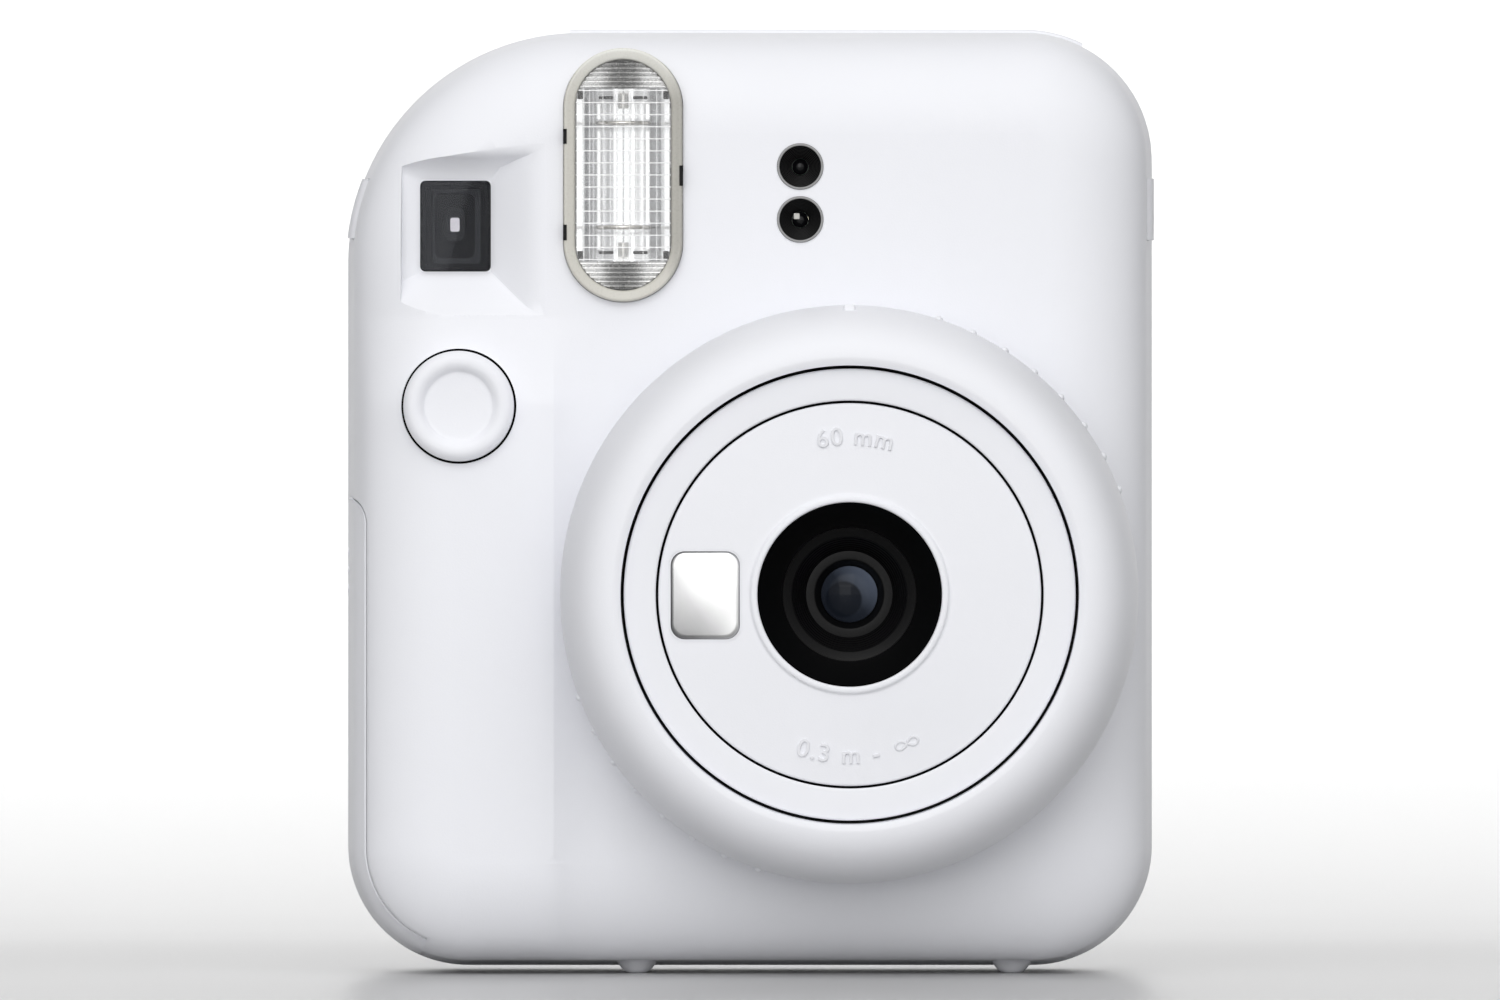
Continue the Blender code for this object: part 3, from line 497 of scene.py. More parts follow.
def brick(name, low, high, body, material, slot, edge=0.2, corner=0.3, replaces=()):
    """A soft-edged block between two corners: rounded rectangles stacked along Y."""
    low, high = np.minimum(low, high), np.maximum(low, high)
    size, centre = high - low, (low + high) / 2
    outline = round_rect(centre[0], centre[2], size[0], size[2], corner, 4)
    return stack(name, outline, slab(low[1], high[1], edge), body, material, replaces=replaces)


def merged(parts):
    """Several (points, faces) joined into one list of points and faces."""
    points, faces, start = [], [], 0
    for p, f in parts:
        p = np.asarray(p).reshape(-1, 3)
        points.append(p)
        faces += [tuple(i + start for i in face) for face in f]
        start += len(p)
    return np.concatenate(points), faces


def carve(obj, parts, sharp=35):
    """Cut closed (points, faces) shapes out of a piece, and keep the result as its mesh."""
    tool = bpy.data.objects.new("tool", closed_mesh("tool", *merged(parts)))
    bpy.context.scene.collection.objects.link(tool)
    modifier = obj.modifiers.new("cut", "BOOLEAN")
    modifier.operation, modifier.solver, modifier.object = "DIFFERENCE", "EXACT", tool
    modifier.use_self = len(parts) > 1
    bpy.context.view_layer.update()
    result = bpy.data.meshes.new_from_object(obj.evaluated_get(bpy.context.evaluated_depsgraph_get()))
    obj.modifiers.clear()
    obj.data = result
    bpy.data.objects.remove(tool)
    result.shade_smooth()
    result.set_sharp_from_angle(angle=math.radians(sharp))
    return obj


def block_mesh(low, high):
    (x0, y0, z0), (x1, y1, z1) = low, high
    outline = lambda inset: np.array([(x0, z0), (x1, z0), (x1, z1), (x0, z1)])
    return stack_mesh(outline, [(0, y0), (0, y1)])


# ---------------------------------------------------------------- the body's outline


def body_path(count=4000):
    """The body seen from the front as even points with their outward normals: four arcs joined by lines."""
    points, normals = [], []
    for cx, cz, radius, start in CORNERS:
        turn = np.radians(np.linspace(start, start + 90, 200))
        normal = np.stack([np.cos(turn), np.sin(turn)], -1)
        points.append(np.array([cx, cz]) + radius * normal)
        normals.append(normal)
    points, normals = np.concatenate(points), np.concatenate(normals)
    points, normals = np.vstack([points, points[:1]]), np.vstack([normals, normals[:1]])
    run = np.concatenate([[0], np.cumsum(np.linalg.norm(np.diff(points, axis=0), axis=1))])
    even = np.linspace(0, run[-1], count, endpoint=False)
    resample = lambda values: np.stack([np.interp(even, run, values[:, i]) for i in range(2)], -1)
    normals = resample(normals)
    return resample(points), normals / np.linalg.norm(normals, axis=1, keepdims=True)


PATH, NORMALS = body_path()


def aim_at_outline(centre, angles):
    """Where rays from a centre meet the outline, and the outline's normals there."""
    seen = np.unwrap(np.arctan2(PATH[:, 1] - centre[1], PATH[:, 0] - centre[0]))
    order = np.argsort(seen % TAU)
    at = lambda values: np.stack(
        [np.interp(angles % TAU, (seen % TAU)[order], values[order, i], period=TAU) for i in range(2)], -1
    )
    normals = at(NORMALS)
    return at(PATH), normals / np.linalg.norm(normals, axis=1, keepdims=True)


def smoothstep(value, low, high):
    t = np.clip((value - low) / (high - low), 0, 1)
    return t * t * (3 - 2 * t)


FUNNEL = (-44.9, 84.8, -27.7, 105.4)  # left, low, right, high edge of the funnel at the face


def finder_recess(x, z):
    """Depth that the inner sheet needs behind the funnel: the least of four sloping planes and a floor."""
    low, high = box_mm("viewfinder_window")
    left, down, right, up = FUNNEL
    planes = (
        (x - left + 2.4) / 2.4, (right - x) / (right - high[0]), (z - down) / (low[2] - down),
        (up + 1.6 - z) / 3.2, np.ones_like(x),
    )
    return FRONT_Y + 4.2 * np.minimum.reduce(planes)


def funnel_tool():
    """The funnel as stacked rectangles: depth, share of the way out at the left, at the top, and at the
    right and bottom, then the flare of the right and top."""
    window = np.array([FINDER[0] - 4.6, FINDER[2] - 5.95, FINDER[0] + 4.6, FINDER[2] + 5.95])
    outer = np.array(FUNNEL)
    rows = []
    for y, left, top, share, flare in (
        (-6.9, 0.0, 0.0, 0.0, 0.0), (-7.75, 0.94, 0.5, 0.2, 0.0), (-9.6, 1.0, 0.85, 0.645, 0.0),
        (-10.3, 1.01, 0.93, 0.81, 0.12), (-10.75, 1.02, 0.98, 0.92, 0.45), (-10.95, 1.03, 1.0, 0.98, 0.95),
        (-11.03, 1.03, 1.02, 1.0, 1.6), (-12.8, 1.04, 1.05, 1.08, 1.8),
    ):
        out = np.array([left, share, share, top])
        x0, z0, x1, z1 = window + out * (outer - window) + np.array([0, 0, flare, flare])
        corners = np.array([(x0, z0), (x1, z0), (x1, z1), (x0, z1)])
        t = np.linspace(0, 1, 14, endpoint=False)[:, None]
        ring = np.concatenate([a + t * (b - a) for a, b in zip(corners, np.roll(corners, -1, 0))])
        rows.append(along("y", *ring.T, y))
    count = len(rows[0])
    faces = grid_faces(len(rows), count, False, True)
    faces += [tuple(range(count))[::-1], tuple(range((len(rows) - 1) * count, len(rows) * count))]
    return np.concatenate(rows), faces


def grip(x, z):
    """Rise of the grip: it rounds down a little towards the crease, falls away beyond it as a square,
    and above the crease's top end slopes away towards the viewfinder."""
    t = np.clip((x + 40) / (CREASE_X + 40), 0, 1)
    beyond = np.clip(1 - (x - CREASE_X) / 6.0, 0, 1) ** 2
    return (GRIP_RISE - 0.35 * t**4) * beyond * (1 - np.clip((z - 73.5) / 11.0, 0, 1) ** 0.9)


def crease_rows(start, end):
    """How far along its ray each row lies. Rows crowd round the grip's crease where a ray crosses it,
    0.3 mm to either side, so that the crease runs along the grid."""
    crosses = end[:, 0] < CREASE_X - 1
    length = np.where(crosses, start[:, 0] - end[:, 0], 60.0)
    at = np.where(crosses, np.clip((start[:, 0] - CREASE_X) / length, 0.2, 0.96), 0.96)
    before = np.linspace(0, 1, 70)[:, None] * (at - 0.7 / length)
    near = at + np.linspace(-0.36, 0.36, 7)[:, None] / length
    after = at + 0.7 / length + np.linspace(0, 1, 46)[:, None] * (1 - at - 0.7 / length)
    return np.concatenate([before, near, after])


def front_casing_points(settings):
    """The front shell as one closed grid. Each ray leaves a circle inside the lens hole, crosses the
    face to the rounded edge (an ellipse of edge_across by edge_deep), runs back to the seam and
    returns inside. The lens hole is cut out of it afterwards."""
    across, deep = settings.edge_across / MM, settings.edge_deep / MM
    fine = np.arange(100, 156, 0.34)
    coarse = np.concatenate([np.arange(156, 460, 0.85)])
    angles = np.radians(np.concatenate([fine, coarse]))
    centre = np.array([LENS_X, LENS_Z])
    edge, normal = aim_at_outline(centre, angles)
    hole = centre + START_R * np.stack([np.cos(angles), np.sin(angles)], -1)
    rim = edge - normal * (DRAFT + across)
    face = hole + crease_rows(hole, rim)[..., None] * (rim - hole)
    turn = np.linspace(0, math.pi / 2, 14)[1:]
    edge_rows = edge - normal * (DRAFT + across * (1 - np.sin(turn)))[:, None, None]
    side_y = np.linspace(FRONT_Y + deep, SEAM_Y - 0.12, 5)[1:]
    side = edge - normal * (DRAFT * (1 - (side_y - side_y[0]) / (side_y[-1] - side_y[0])))[:, None, None]
    lip = (edge - normal * 0.12)[None]
    rows = np.concatenate([face, edge_rows, side, lip])
    y = np.concatenate([
        np.full(len(face), FRONT_Y), FRONT_Y + deep * (1 - np.cos(turn)), side_y, [SEAM_Y],
    ])[:, None] + np.zeros(len(angles))
    x, z = rows[..., 0], rows[..., 1]
    reach = 1 - smoothstep(y, FRONT_Y + deep * 0.35, FRONT_Y + deep)
    y = y - grip(x, z) * reach
    inner_t = np.linspace(1, 0, 26)
    inner_rim = edge - normal * (DRAFT + across + 1.0)
    inner_face = hole + inner_t[:, None, None] * (inner_rim - hole)
    back_turn = np.linspace(math.pi / 2, 0, 19)[:-1]
    inner_edge = edge - normal * (DRAFT + WALL + (across - 1.0) * (1 - np.sin(back_turn)))[:, None, None]
    seam_in = (edge - normal * WALL)[None]
    inner = np.concatenate([seam_in, inner_edge, inner_face])
    level = np.full(len(inner), FRONT_Y)
    level[0] = SEAM_Y - WALL
    level[1:19] += (deep - WALL) * (1 - np.cos(back_turn))
    ix, iz = inner[..., 0], inner[..., 1]
    lift = 0.9 * grip(ix, iz) * (level < FRONT_Y + 0.5)[:, None]
    inner_y = WALL + np.maximum(level[:, None] - lift, finder_recess(ix, iz))
    return np.concatenate([np.stack([x, y, z], -1), np.stack([ix, inner_y, iz], -1)])


def cover_path(grow=0.0):
    """The outline along the battery cover with its normals and the cover's depth there. The depth is
    level but for a quarter ellipse that rounds its top corner."""
    keep = (PATH[:, 0] < COVER_END_X + grow) & (PATH[:, 1] < COVER_TOP + grow) & (PATH[:, 0] < 0)
    path, normal = PATH[keep][::3], NORMALS[keep][::3]
    up = np.clip((path[:, 1] - (COVER_TOP + grow - 3.4)) / 3.4, 0, 1)
    return path, normal, (COVER_IN + grow) * np.sqrt(1 - up**2)


def cover_tool(grow):
    """The space of the battery cover, a little larger than the cover."""
    path, normal, depth = cover_path(grow)
    outer, inner = path + normal * 3.0, path - normal * depth[:, None]
    outline = lambda inset: np.concatenate([outer, inner[::-1]])
    return stack_mesh(outline, [(0, -9.5), (0, 24.0 + grow)])


def lug_path(side, grow):
    centre = middle_mm(f"strap_lug_{side}")
    near = (np.abs(PATH[:, 1] - centre[2]) < 4.0 + grow) & (PATH[:, 0] * centre[0] > 0)
    return PATH[near][::4], NORMALS[near][::4]


def lug_tools():
    """The slots that the strap lugs stand in, along the outline on each side."""
    tools = []
    for side in ("left", "right"):
        path, normal = lug_path(side, 0.2)
        outline = np.concatenate([path + normal * 3, (path - normal * 1.9)[::-1]])
        tools.append(stack_mesh(lambda inset, o=outline: o, [(0, -2.2), (0, 2.8)]))
    return tools


def cylinder_tool(radius, centre, low, high, steps=96, axis="y"):
    return turned_mesh([(0, low), (radius, low), (radius, high), (0, high)], centre, axis, steps)


def stadium(cx, cz, width, height, steps=24):
    return round_rect(cx, cz, width, height, width / 2 - 0.01, steps)


def make_front_casing(settings, white):
    points = front_casing_points(settings)
    faces = grid_faces(points.shape[0], points.shape[1], True, True)
    shell = piece("front_casing", points, faces, "camera_body", white, ["front_shell"])
    low, high = box_mm("flash_bezel")
    bezel = stadium(FLASH[0], FLASH[2], high[0] - low[0] + 0.14, high[2] - low[2] + 0.14)
    window = round_rect(FINDER[0], FINDER[2], 9.1, 11.7, 0.7, 6)
    radius = (box_mm("shutter_button")[1][0] - box_mm("shutter_button")[0][0]) / 2
    tools = [
        stack_mesh(bezel, [(0, -20), (0, 0)]), stack_mesh(window, [(0, -20), (0, 0)]),
        cylinder_tool(radius + 0.3, (BUTTON[0], BUTTON[2]), -20, 0), cover_tool(0.08), *lug_tools(),
        cylinder_tool(LENS_HOLE_R, (LENS_X, LENS_Z), -20, 6, 192),
    ]
    for side in ("upper", "lower"):
        x, _, z = middle_mm(f"sensor_barrel_{side}")
        tools.append(cylinder_tool(3.0, (x, z), -20, 0, 64))
    carve(shell, [funnel_tool()])
    return carve(shell, tools)


def make_feet(white):
    """Four moulded dome feet, each a dome with a small flat."""
    parts = []
    t = np.linspace(0, 1, 12)
    profile = np.concatenate([[(0, 0)], np.stack([0.9 + 1.7 * t, 1.5 * t**2], -1), [(2.6, 2.2), (0, 2.2)]])
    for x in (-14.6, 33.8):
        for y in (2.5, 20.0):
            parts.append(turned_mesh(profile, (x, y), "z", 40))
    points, faces = merged(parts)
    return piece("moulded_feet", points, faces, "camera_body", white)


# ---------------------------------------------------------------- rear casing, door, cover


def rear_casing_mesh(first_y):
    """The rear of the body as one closed grid round the outline: side, rounded edge, back, and the
    same again inside the wall."""
    count = 420
    centre = np.array([0.0, (BODY_TOP + FOOT) / 2])
    angles = np.linspace(0, TAU, count, endpoint=False)
    edge, normal = aim_at_outline(centre, angles)

    def sheet(inset, back, radius, start):
        turn = np.linspace(0, math.pi / 2, 12)
        insets = np.concatenate([np.full(4, inset), inset + radius * (1 - np.cos(turn[1:]))])
        rounding = back - radius * (1 - np.sin(turn[1:]))
        heights = np.concatenate([np.linspace(start, back - radius, 4), rounding])
        ring = edge - normal * insets[:, None, None]
        face = centre + np.linspace(0.9, 0.1, 9)[:, None, None] * (ring[-1] - centre)
        plan = np.concatenate([ring, face])
        return plan, np.concatenate([heights, np.full(9, back)])

    outer, outer_y = sheet(0.0, BACK_Y, 7.0, first_y)
    inner, inner_y = sheet(WALL, BACK_Y - WALL, 5.0, first_y)
    rows = np.concatenate([outer, inner[::-1]])
    y = np.concatenate([outer_y, inner_y[::-1]])[:, None] + np.zeros(count)
    half = len(outer)
    points = np.stack([rows[..., 0], y, rows[..., 1]], -1).reshape(-1, 3)
    quads = grid_faces(len(rows), count, False, True)
    # the two sheets stay open where one would jump through the wall, and close on a pole each
    quads = [q for q in quads if not (q[0] // count == half - 1)]
    poles = np.array([[centre[0], BACK_Y, centre[1]], [centre[0], BACK_Y - WALL, centre[1]]])
    total = len(points)
    for i in range(count):
        j = (i + 1) % count
        quads.append((total, (half - 1) * count + i, (half - 1) * count + j))
        quads.append((total + 1, half * count + j, half * count + i))
        last = (len(rows) - 1) * count
        quads.append((last + i, last + j, j, i))
    return np.concatenate([points, poles]), quads


def strip_path(x0, x1):
    top = (PATH[:, 0] > x0) & (PATH[:, 0] < x1) & (PATH[:, 1] > 100)
    return PATH[top][::8], NORMALS[top][::8]


def strip_tool(grow, inside=3.0):
    path, normal = strip_path(STRIP_LOW[0] - grow, STRIP_HIGH[0] + grow)
    outline = lambda inset: np.concatenate([path + normal * 3.0, (path - normal * inside)[::-1]])
    return stack_mesh(outline, [(0, STRIP_LOW[1] - grow), (0, STRIP_HIGH[1] + grow)])


def make_rear_casing(white, black):
    hinge_x, hinge_y = middle_mm("door_hinge_pin")[:2]
    z0, z1 = box_mm("door_hinge_pin")[0][2] + 3.0, box_mm("door_hinge_pin")[1][2] - 3.0
    points, faces = rear_casing_mesh(SEAM_Y + 0.15)
    shell = piece("rear_casing", points, faces, "camera_body", white, ["rear_shell"])
    eyepiece = round_rect(EYEPIECE[0], EYEPIECE[2], 12.9, 14.9, 2.0, 8)
    counter = round_rect(COUNTER[0], COUNTER[2], 6.4, 6.4, 1.4, 8)
    tools = [
        block_mesh((DOOR_EDGE_X - 0.2, DOOR_SPLIT_Y - 0.2, -5), (60, 60, 130)),
        cylinder_tool(1.2, (hinge_x, hinge_y), z0 - 0.2, z1 + 0.2, 32, "z"),
        stack_mesh(eyepiece, [(0, 28), (0, 40)]), stack_mesh(counter, [(0, 28), (0, 40)]),
        strip_tool(0.15), cover_tool(0.08),
    ]
    for side in ("left", "right"):
        x, y, _ = middle_mm(f"housing_screw_{side}")
        tools.append(cylinder_tool(1.9, (x, y), -1, 5, 32, "z"))
    shell = carve(shell, tools)
    latch = round_rect(LATCH[0] - 1.0, LATCH[2], 9.6, 15.8, 1.8, 6)
    carve(shell, [stack_mesh(latch, [(0, 29), (0, 40)])])
    wall = [(DOOR_EDGE_X - 2.3, 24.0, 4.0), (DOOR_EDGE_X - 0.3, 30.9, 118.5)]
    brick("light_wall", *wall, "camera_body", black, "moulding_black")
    pocket = [(LATCH[0] - 7.0, 29.6, LATCH[2] - 9.2), (DOOR_EDGE_X - 0.3, 31.2, LATCH[2] + 9.2)]
    brick("latch_pocket", *pocket, "camera_body", black, "moulding_black")
    return shell


def make_film_door(white, black):
    hinge_x, hinge_y = middle_mm("door_hinge_pin")[:2]
    z0, z1 = box_mm("door_hinge_pin")[0][2] + 3.0, box_mm("door_hinge_pin")[1][2] - 3.0
    points, faces = rear_casing_mesh(SEAM_Y + 0.15)
    door = piece("back_door", points, faces, "back_door", white, ["film_door"])
    window_low, window_high = box_mm("film_window")
    size = window_high - window_low
    window = round_rect(LENS_X, (window_low[2] + window_high[2]) / 2, size[0] + 0.4, size[2] + 0.4, 4.0, 10)
    latch = round_rect(LATCH[0] + 1.0, LATCH[2], 13.4, 15.8, 1.8, 6)
    carve(door, [
        block_mesh((-60, -20, -5), (60, DOOR_SPLIT_Y, 130)),
        block_mesh((-70, DOOR_SPLIT_Y - 1, -6), (DOOR_EDGE_X, 70, 131)),
    ])
    carve(door, [stack_mesh(window, [(0, 25), (0, 40)]), stack_mesh(latch, [(0, 29), (0, 40)])])
    barrel = eased([(0, z0, 0), (0.8, z0, 0.2), (0.8, z1, 0.2), (0, z1, 0)])
    turned("hinge_barrel", barrel, (hinge_x, hinge_y), "back_door", white, "z", 32)
    arm = round_rect(hinge_x, (z0 + z1) / 2, 1.3, z1 - z0 - 0.4, 0.3, 3)
    stack("hinge_arm", arm, slab(hinge_y, hinge_y + 2.2, 0.1), "back_door", white)
    bed = [(DOOR_EDGE_X + 0.05, 29.6, LATCH[2] - 9.2), (DOOR_EDGE_X + 7.3, 31.25, LATCH[2] + 9.2)]
    brick("latch_bed", *bed, "back_door", black, "moulding_black")
    # light seals: low black ribs that press round the film chamber
    parts = []
    for inset in (4.0, 6.4):
        frame_outline = round_rect(LENS_X, 54.2, 64 - inset, 96 - inset, 2.0, 5)
        rib = [(0, 31.5), (0, 29.6), (0.9, 29.6), (0.9, 31.5)]
        parts.append(stack_mesh(frame_outline, rib, ring=True))
    points, faces = merged(parts)
    piece("door_light_seal", points, faces, "back_door", black)
    return door


def make_battery_cover(settings, white):
    """The cover is its cross-section carried along the outline. The outer line starts with a narrow
    flat lip that faces forward, follows the rounded front edge and the straight side, and stops
    before the rear seam; the inner line is level."""
    across, deep = settings.edge_across / MM, settings.edge_deep / MM
    path, normal, depth = cover_path()
    depth = np.maximum(depth, 0.15)
    start = np.arcsin(np.clip(1 - (depth - 0.25 - DRAFT) / across, -1, 1))
    turn = start + np.linspace(0, 1, 8)[:, None] * (math.pi / 2 - start)
    outer = DRAFT + across * (1 - np.sin(turn))
    front = FRONT_Y + deep * (1 - np.cos(turn))
    level = lambda value: np.full(len(path), value)
    insets = np.stack([
        depth, depth - 0.22, *outer, level(0.3), level(0), level(0), level(0.15), depth, depth,
    ])
    heights = np.stack([
        front[0] - 0.05, front[0] - 0.05, *front, level(2.5), level(SEAM_Y), level(23.85), level(24.0),
        level(24.0), front[0] + 0.4,
    ])
    rows = path[:, None] - normal[:, None] * insets.T[..., None]
    points = np.stack([rows[..., 0], heights.T, rows[..., 1]], -1)
    count = len(insets)
    faces = grid_faces(len(path), count, False, True)
    faces += [tuple(range(count)), tuple(range((len(path) - 1) * count, len(path) * count))[::-1]]
    cover = piece("cell_cover", points, faces, "cell_cover", white, ["battery_cover"])
    # three finger ridges on the side of the cover
    parts = []
    for i in range(3):
        z = COVER_TOP - 7.0 - 2.4 * i
        outline = round_rect(10.0, z, 12.0, 1.0, 0.49, 6)
        parts.append(stack_mesh(outline, [(0, -51.5), (0, -51.95), (0.3, -52.0)], "x"))
    points, faces = merged(parts)
    piece("cover_ridges", points, faces, "cell_cover", white)
    return cover


def make_exit_strip(white, black):
    """The strip is its section carried over the top between two ends, with the print slot cut out."""
    path, normal = strip_path(STRIP_LOW[0], STRIP_HIGH[0])
    section = eased([(1.7, 9.5, 0), (1.7, 19.5, 0), (-0.5, 19.5, 0.5), (-0.5, 9.5, 0.5)], 4)
    rows = path[:, None] - normal[:, None] * section[None, :, :1]
    points = np.stack([rows[..., 0], np.broadcast_to(section[:, 1], rows.shape[:2]), rows[..., 1]], -1)
    count = len(section)
    faces = grid_faces(len(path), count, False, True)
    faces += [tuple(range(count)), tuple(range((len(path) - 1) * count, len(path) * count))[::-1]]
    strip = piece("exit_strip", points, faces, "camera_body", white, ["exit_cover"])
    slot = round_rect(LENS_X, 14.5, 56.6, 3.2, 0.5, 4)
    carve(strip, [stack_mesh(slot, [(0, 100), (0, 130)], "z")])
    low, high = box_mm("exit_flap")
    flap = round_rect(LENS_X, (low[1] + high[1]) / 2, high[0] - low[0], high[1] - low[1], 0.3, 4)
    stack("slot_flap", flap, slab(low[2], high[2], 0.12), "print_flap", black, "z",
          replaces=["exit_flap"])


def make_lugs(white):
    """A strap lug is a soft-edged bar bent along the outline, whose front end sinks into the side."""
    for side in ("left", "right"):
        path, normal = lug_path(side, 0)
        section = eased([
            (0.9, -2.0, 0.2), (0.05, -1.2, 1.2), (-0.15, 0.6, 1.5), (-0.15, 2.6, 0.4), (1.7, 2.6, 0.1),
            (1.7, -2.0, 0.1),
        ], 5)
        rows = path[:, None] - normal[:, None] * section[None, :, :1]
        points = np.stack([rows[..., 0], np.broadcast_to(section[:, 1], rows.shape[:2]), rows[..., 1]], -1)
        count = len(section)
        faces = grid_faces(len(path), count, False, True)
        faces += [tuple(range(count)), tuple(range((len(path) - 1) * count, len(path) * count))[::-1]]
        piece(f"lug_{side}", points, faces, "camera_body", white, [f"strap_lug_{side}"])


# ---------------------------------------------------------------- lens


def make_dial(white):
    """The dial: a ring whose section swells from the body to its full radius and rolls over to the
    front; the roll is a superellipse, r = r0 + a cos^0.9 t, y = y0 - b sin^0.9 t."""
    t = np.linspace(0, math.pi / 2, 40)
    roll_r = MID_R + 0.75 + (DIAL_R - MID_R - 0.75) * np.cos(t) ** 0.88
    roll_y = -20.5 + (DIAL_FRONT + 20.5) * np.sin(t) ** 0.92
    swell = np.linspace(0, 1, 9)[:-1]
    swell_r = 33.6 + (DIAL_R - 33.6) * np.sin(swell * math.pi / 2)
    swell_y = -11.7 + (-20.5 + 11.7) * (1 - np.cos(swell * math.pi / 2))
    lip = eased([(MID_R + 0.4, DIAL_FRONT, 0.35), (MID_R + 0.4, -28.7, 0.1)], 4)
    base = np.array([(30.7, -28.7), (30.7, -11.7)])
    swelling, rolling = np.stack([swell_r, swell_y], -1), np.stack([roll_r, roll_y], -1)
    profile = np.concatenate([swelling, rolling[:-1], lip, base])
    turned("dial_ring", profile, (LENS_X, LENS_Z), "dial", white, steps=256,
           replaces=["lens_ring"])
    # grip pips stand in two runs on the widest part of the ring
    parts = []
    angles = np.concatenate([21.2 + 7.25 * np.arange(8), 201.0 + 7.25 * np.arange(8)])
    u = np.linspace(0, TAU, 12, endpoint=False)
    v = np.linspace(0.12, math.pi / 2, 6)[:, None]
    for angle in np.radians(angles):
        out = np.array([math.cos(angle), 0, math.sin(angle)])
        side = np.array([-math.sin(angle), 0, math.cos(angle)])
        centre = np.array([LENS_X, -21.5, LENS_Z]) + out * (DIAL_R - 0.1)
        ring = (np.cos(v) * 0.5)[..., None] * out
        ring = ring + (np.sin(v) * 0.55 * np.cos(u))[..., None] * side
        ring = ring + (np.sin(v) * 0.8 * np.sin(u))[..., None] * np.array([0, 1, 0])
        faces = grid_faces(6, 12, False, True) + [tuple(range(12))[::-1], tuple(range(60, 72))]
        parts.append((centre + ring, faces))
    mark = round_rect(LENS_X, -24.5, 1.5, 4.5, 0.3, 4)
    top = LENS_Z + DIAL_R
    parts.append(stack_mesh(mark, [(0, top - 1.6), (0, top - 0.25), (0.2, top)], "z"))
    points, faces = merged(parts)
    piece("dial_pips", points, faces, "dial", white)


def numerals(text, radius, middle, top, size, name, body, material):
    """Raised characters set round the lens. Each is a text made into a welded mesh, then turned to its
    place."""
    widths = {"m": 1.15, " ": 0.45, ".": 0.35, "1": 0.6, "-": 0.6}
    advance = [widths.get(c, 0.78) * size for c in text]
    offset = np.cumsum(advance) - np.array(advance) / 2 - sum(advance) / 2
    parts = []
    for character, shift in zip(text, offset):
        if character == " ":
            continue
        curve = bpy.data.curves.new("figure", "FONT")
        curve.body, curve.align_x, curve.align_y = character, "CENTER", "BOTTOM_BASELINE"
        curve.size, curve.extrude, curve.resolution_u = size * 1.35, 0.4, 5
        curve.bevel_depth, curve.offset = 0.07, -0.03
        holder = bpy.data.objects.new("figure", curve)
        bpy.context.scene.collection.objects.link(holder)
        bpy.context.view_layer.update()
        mesh = bpy.data.meshes.new_from_object(holder.evaluated_get(bpy.context.evaluated_depsgraph_get()))
        places = np.array([v.co for v in mesh.vertices]).round(5)
        points, index = np.unique(places, axis=0, return_inverse=True)
        faces = [tuple(index.ravel()[list(p.vertices)]) for p in mesh.polygons]
        bpy.data.objects.remove(holder)
        turn = math.radians(middle) - shift / radius * (1 if top else -1)
        out = np.array([math.cos(turn), math.sin(turn)])
        right = np.array([out[1], -out[0]]) * (1 if top else -1)
        up = out * (1 if top else -1)
        base = out * (radius + (-size / 2 if top else size / 2))
        plan = base + points[:, :1] * right + points[:, 1:2] * up
        y = PANEL_FRONT - 0.02 - points[:, 2] * 0.5
        parts.append((np.stack([LENS_X + plan[:, 0], y, LENS_Z + plan[:, 1]], -1), faces))
    points, faces = merged(parts)
    return piece(name, points, faces, body, material)


def infinity_sign(radius, angle, size, body, material):
    """A lemniscate x = a cos t / (1 + sin^2 t), y = x sin t, swept by a small round section."""
    t = np.linspace(0, TAU, 64, endpoint=False)
    x = size * np.cos(t) / (1 + np.sin(t) ** 2)
    y = x * np.sin(t) * 0.95
    flow = np.stack([np.gradient(x), np.gradient(y)], -1)
    flow /= np.linalg.norm(flow, axis=1, keepdims=True)
    out = np.array([math.cos(angle), math.sin(angle)])
    right = np.array([-out[1], out[0]])
    section = np.linspace(0, TAU, 8, endpoint=False)
    side = np.stack([-flow[:, 1], flow[:, 0]], -1)
    plan = np.stack([x, y], -1)[:, None] + side[:, None] * (0.19 * np.cos(section))[None, :, None]
    place = out * radius + plan[..., :1] * right + plan[..., 1:] * -out
    height = PANEL_FRONT - 0.02 + 0.17 * np.sin(section)[None] + 0 * plan[..., 0]
    points = np.stack([LENS_X + place[..., 0], height, LENS_Z + place[..., 1]], -1)
    faces = grid_faces(64, 8, True, True)
    piece("figure_far", points.reshape(-1, 3), faces, body, material)


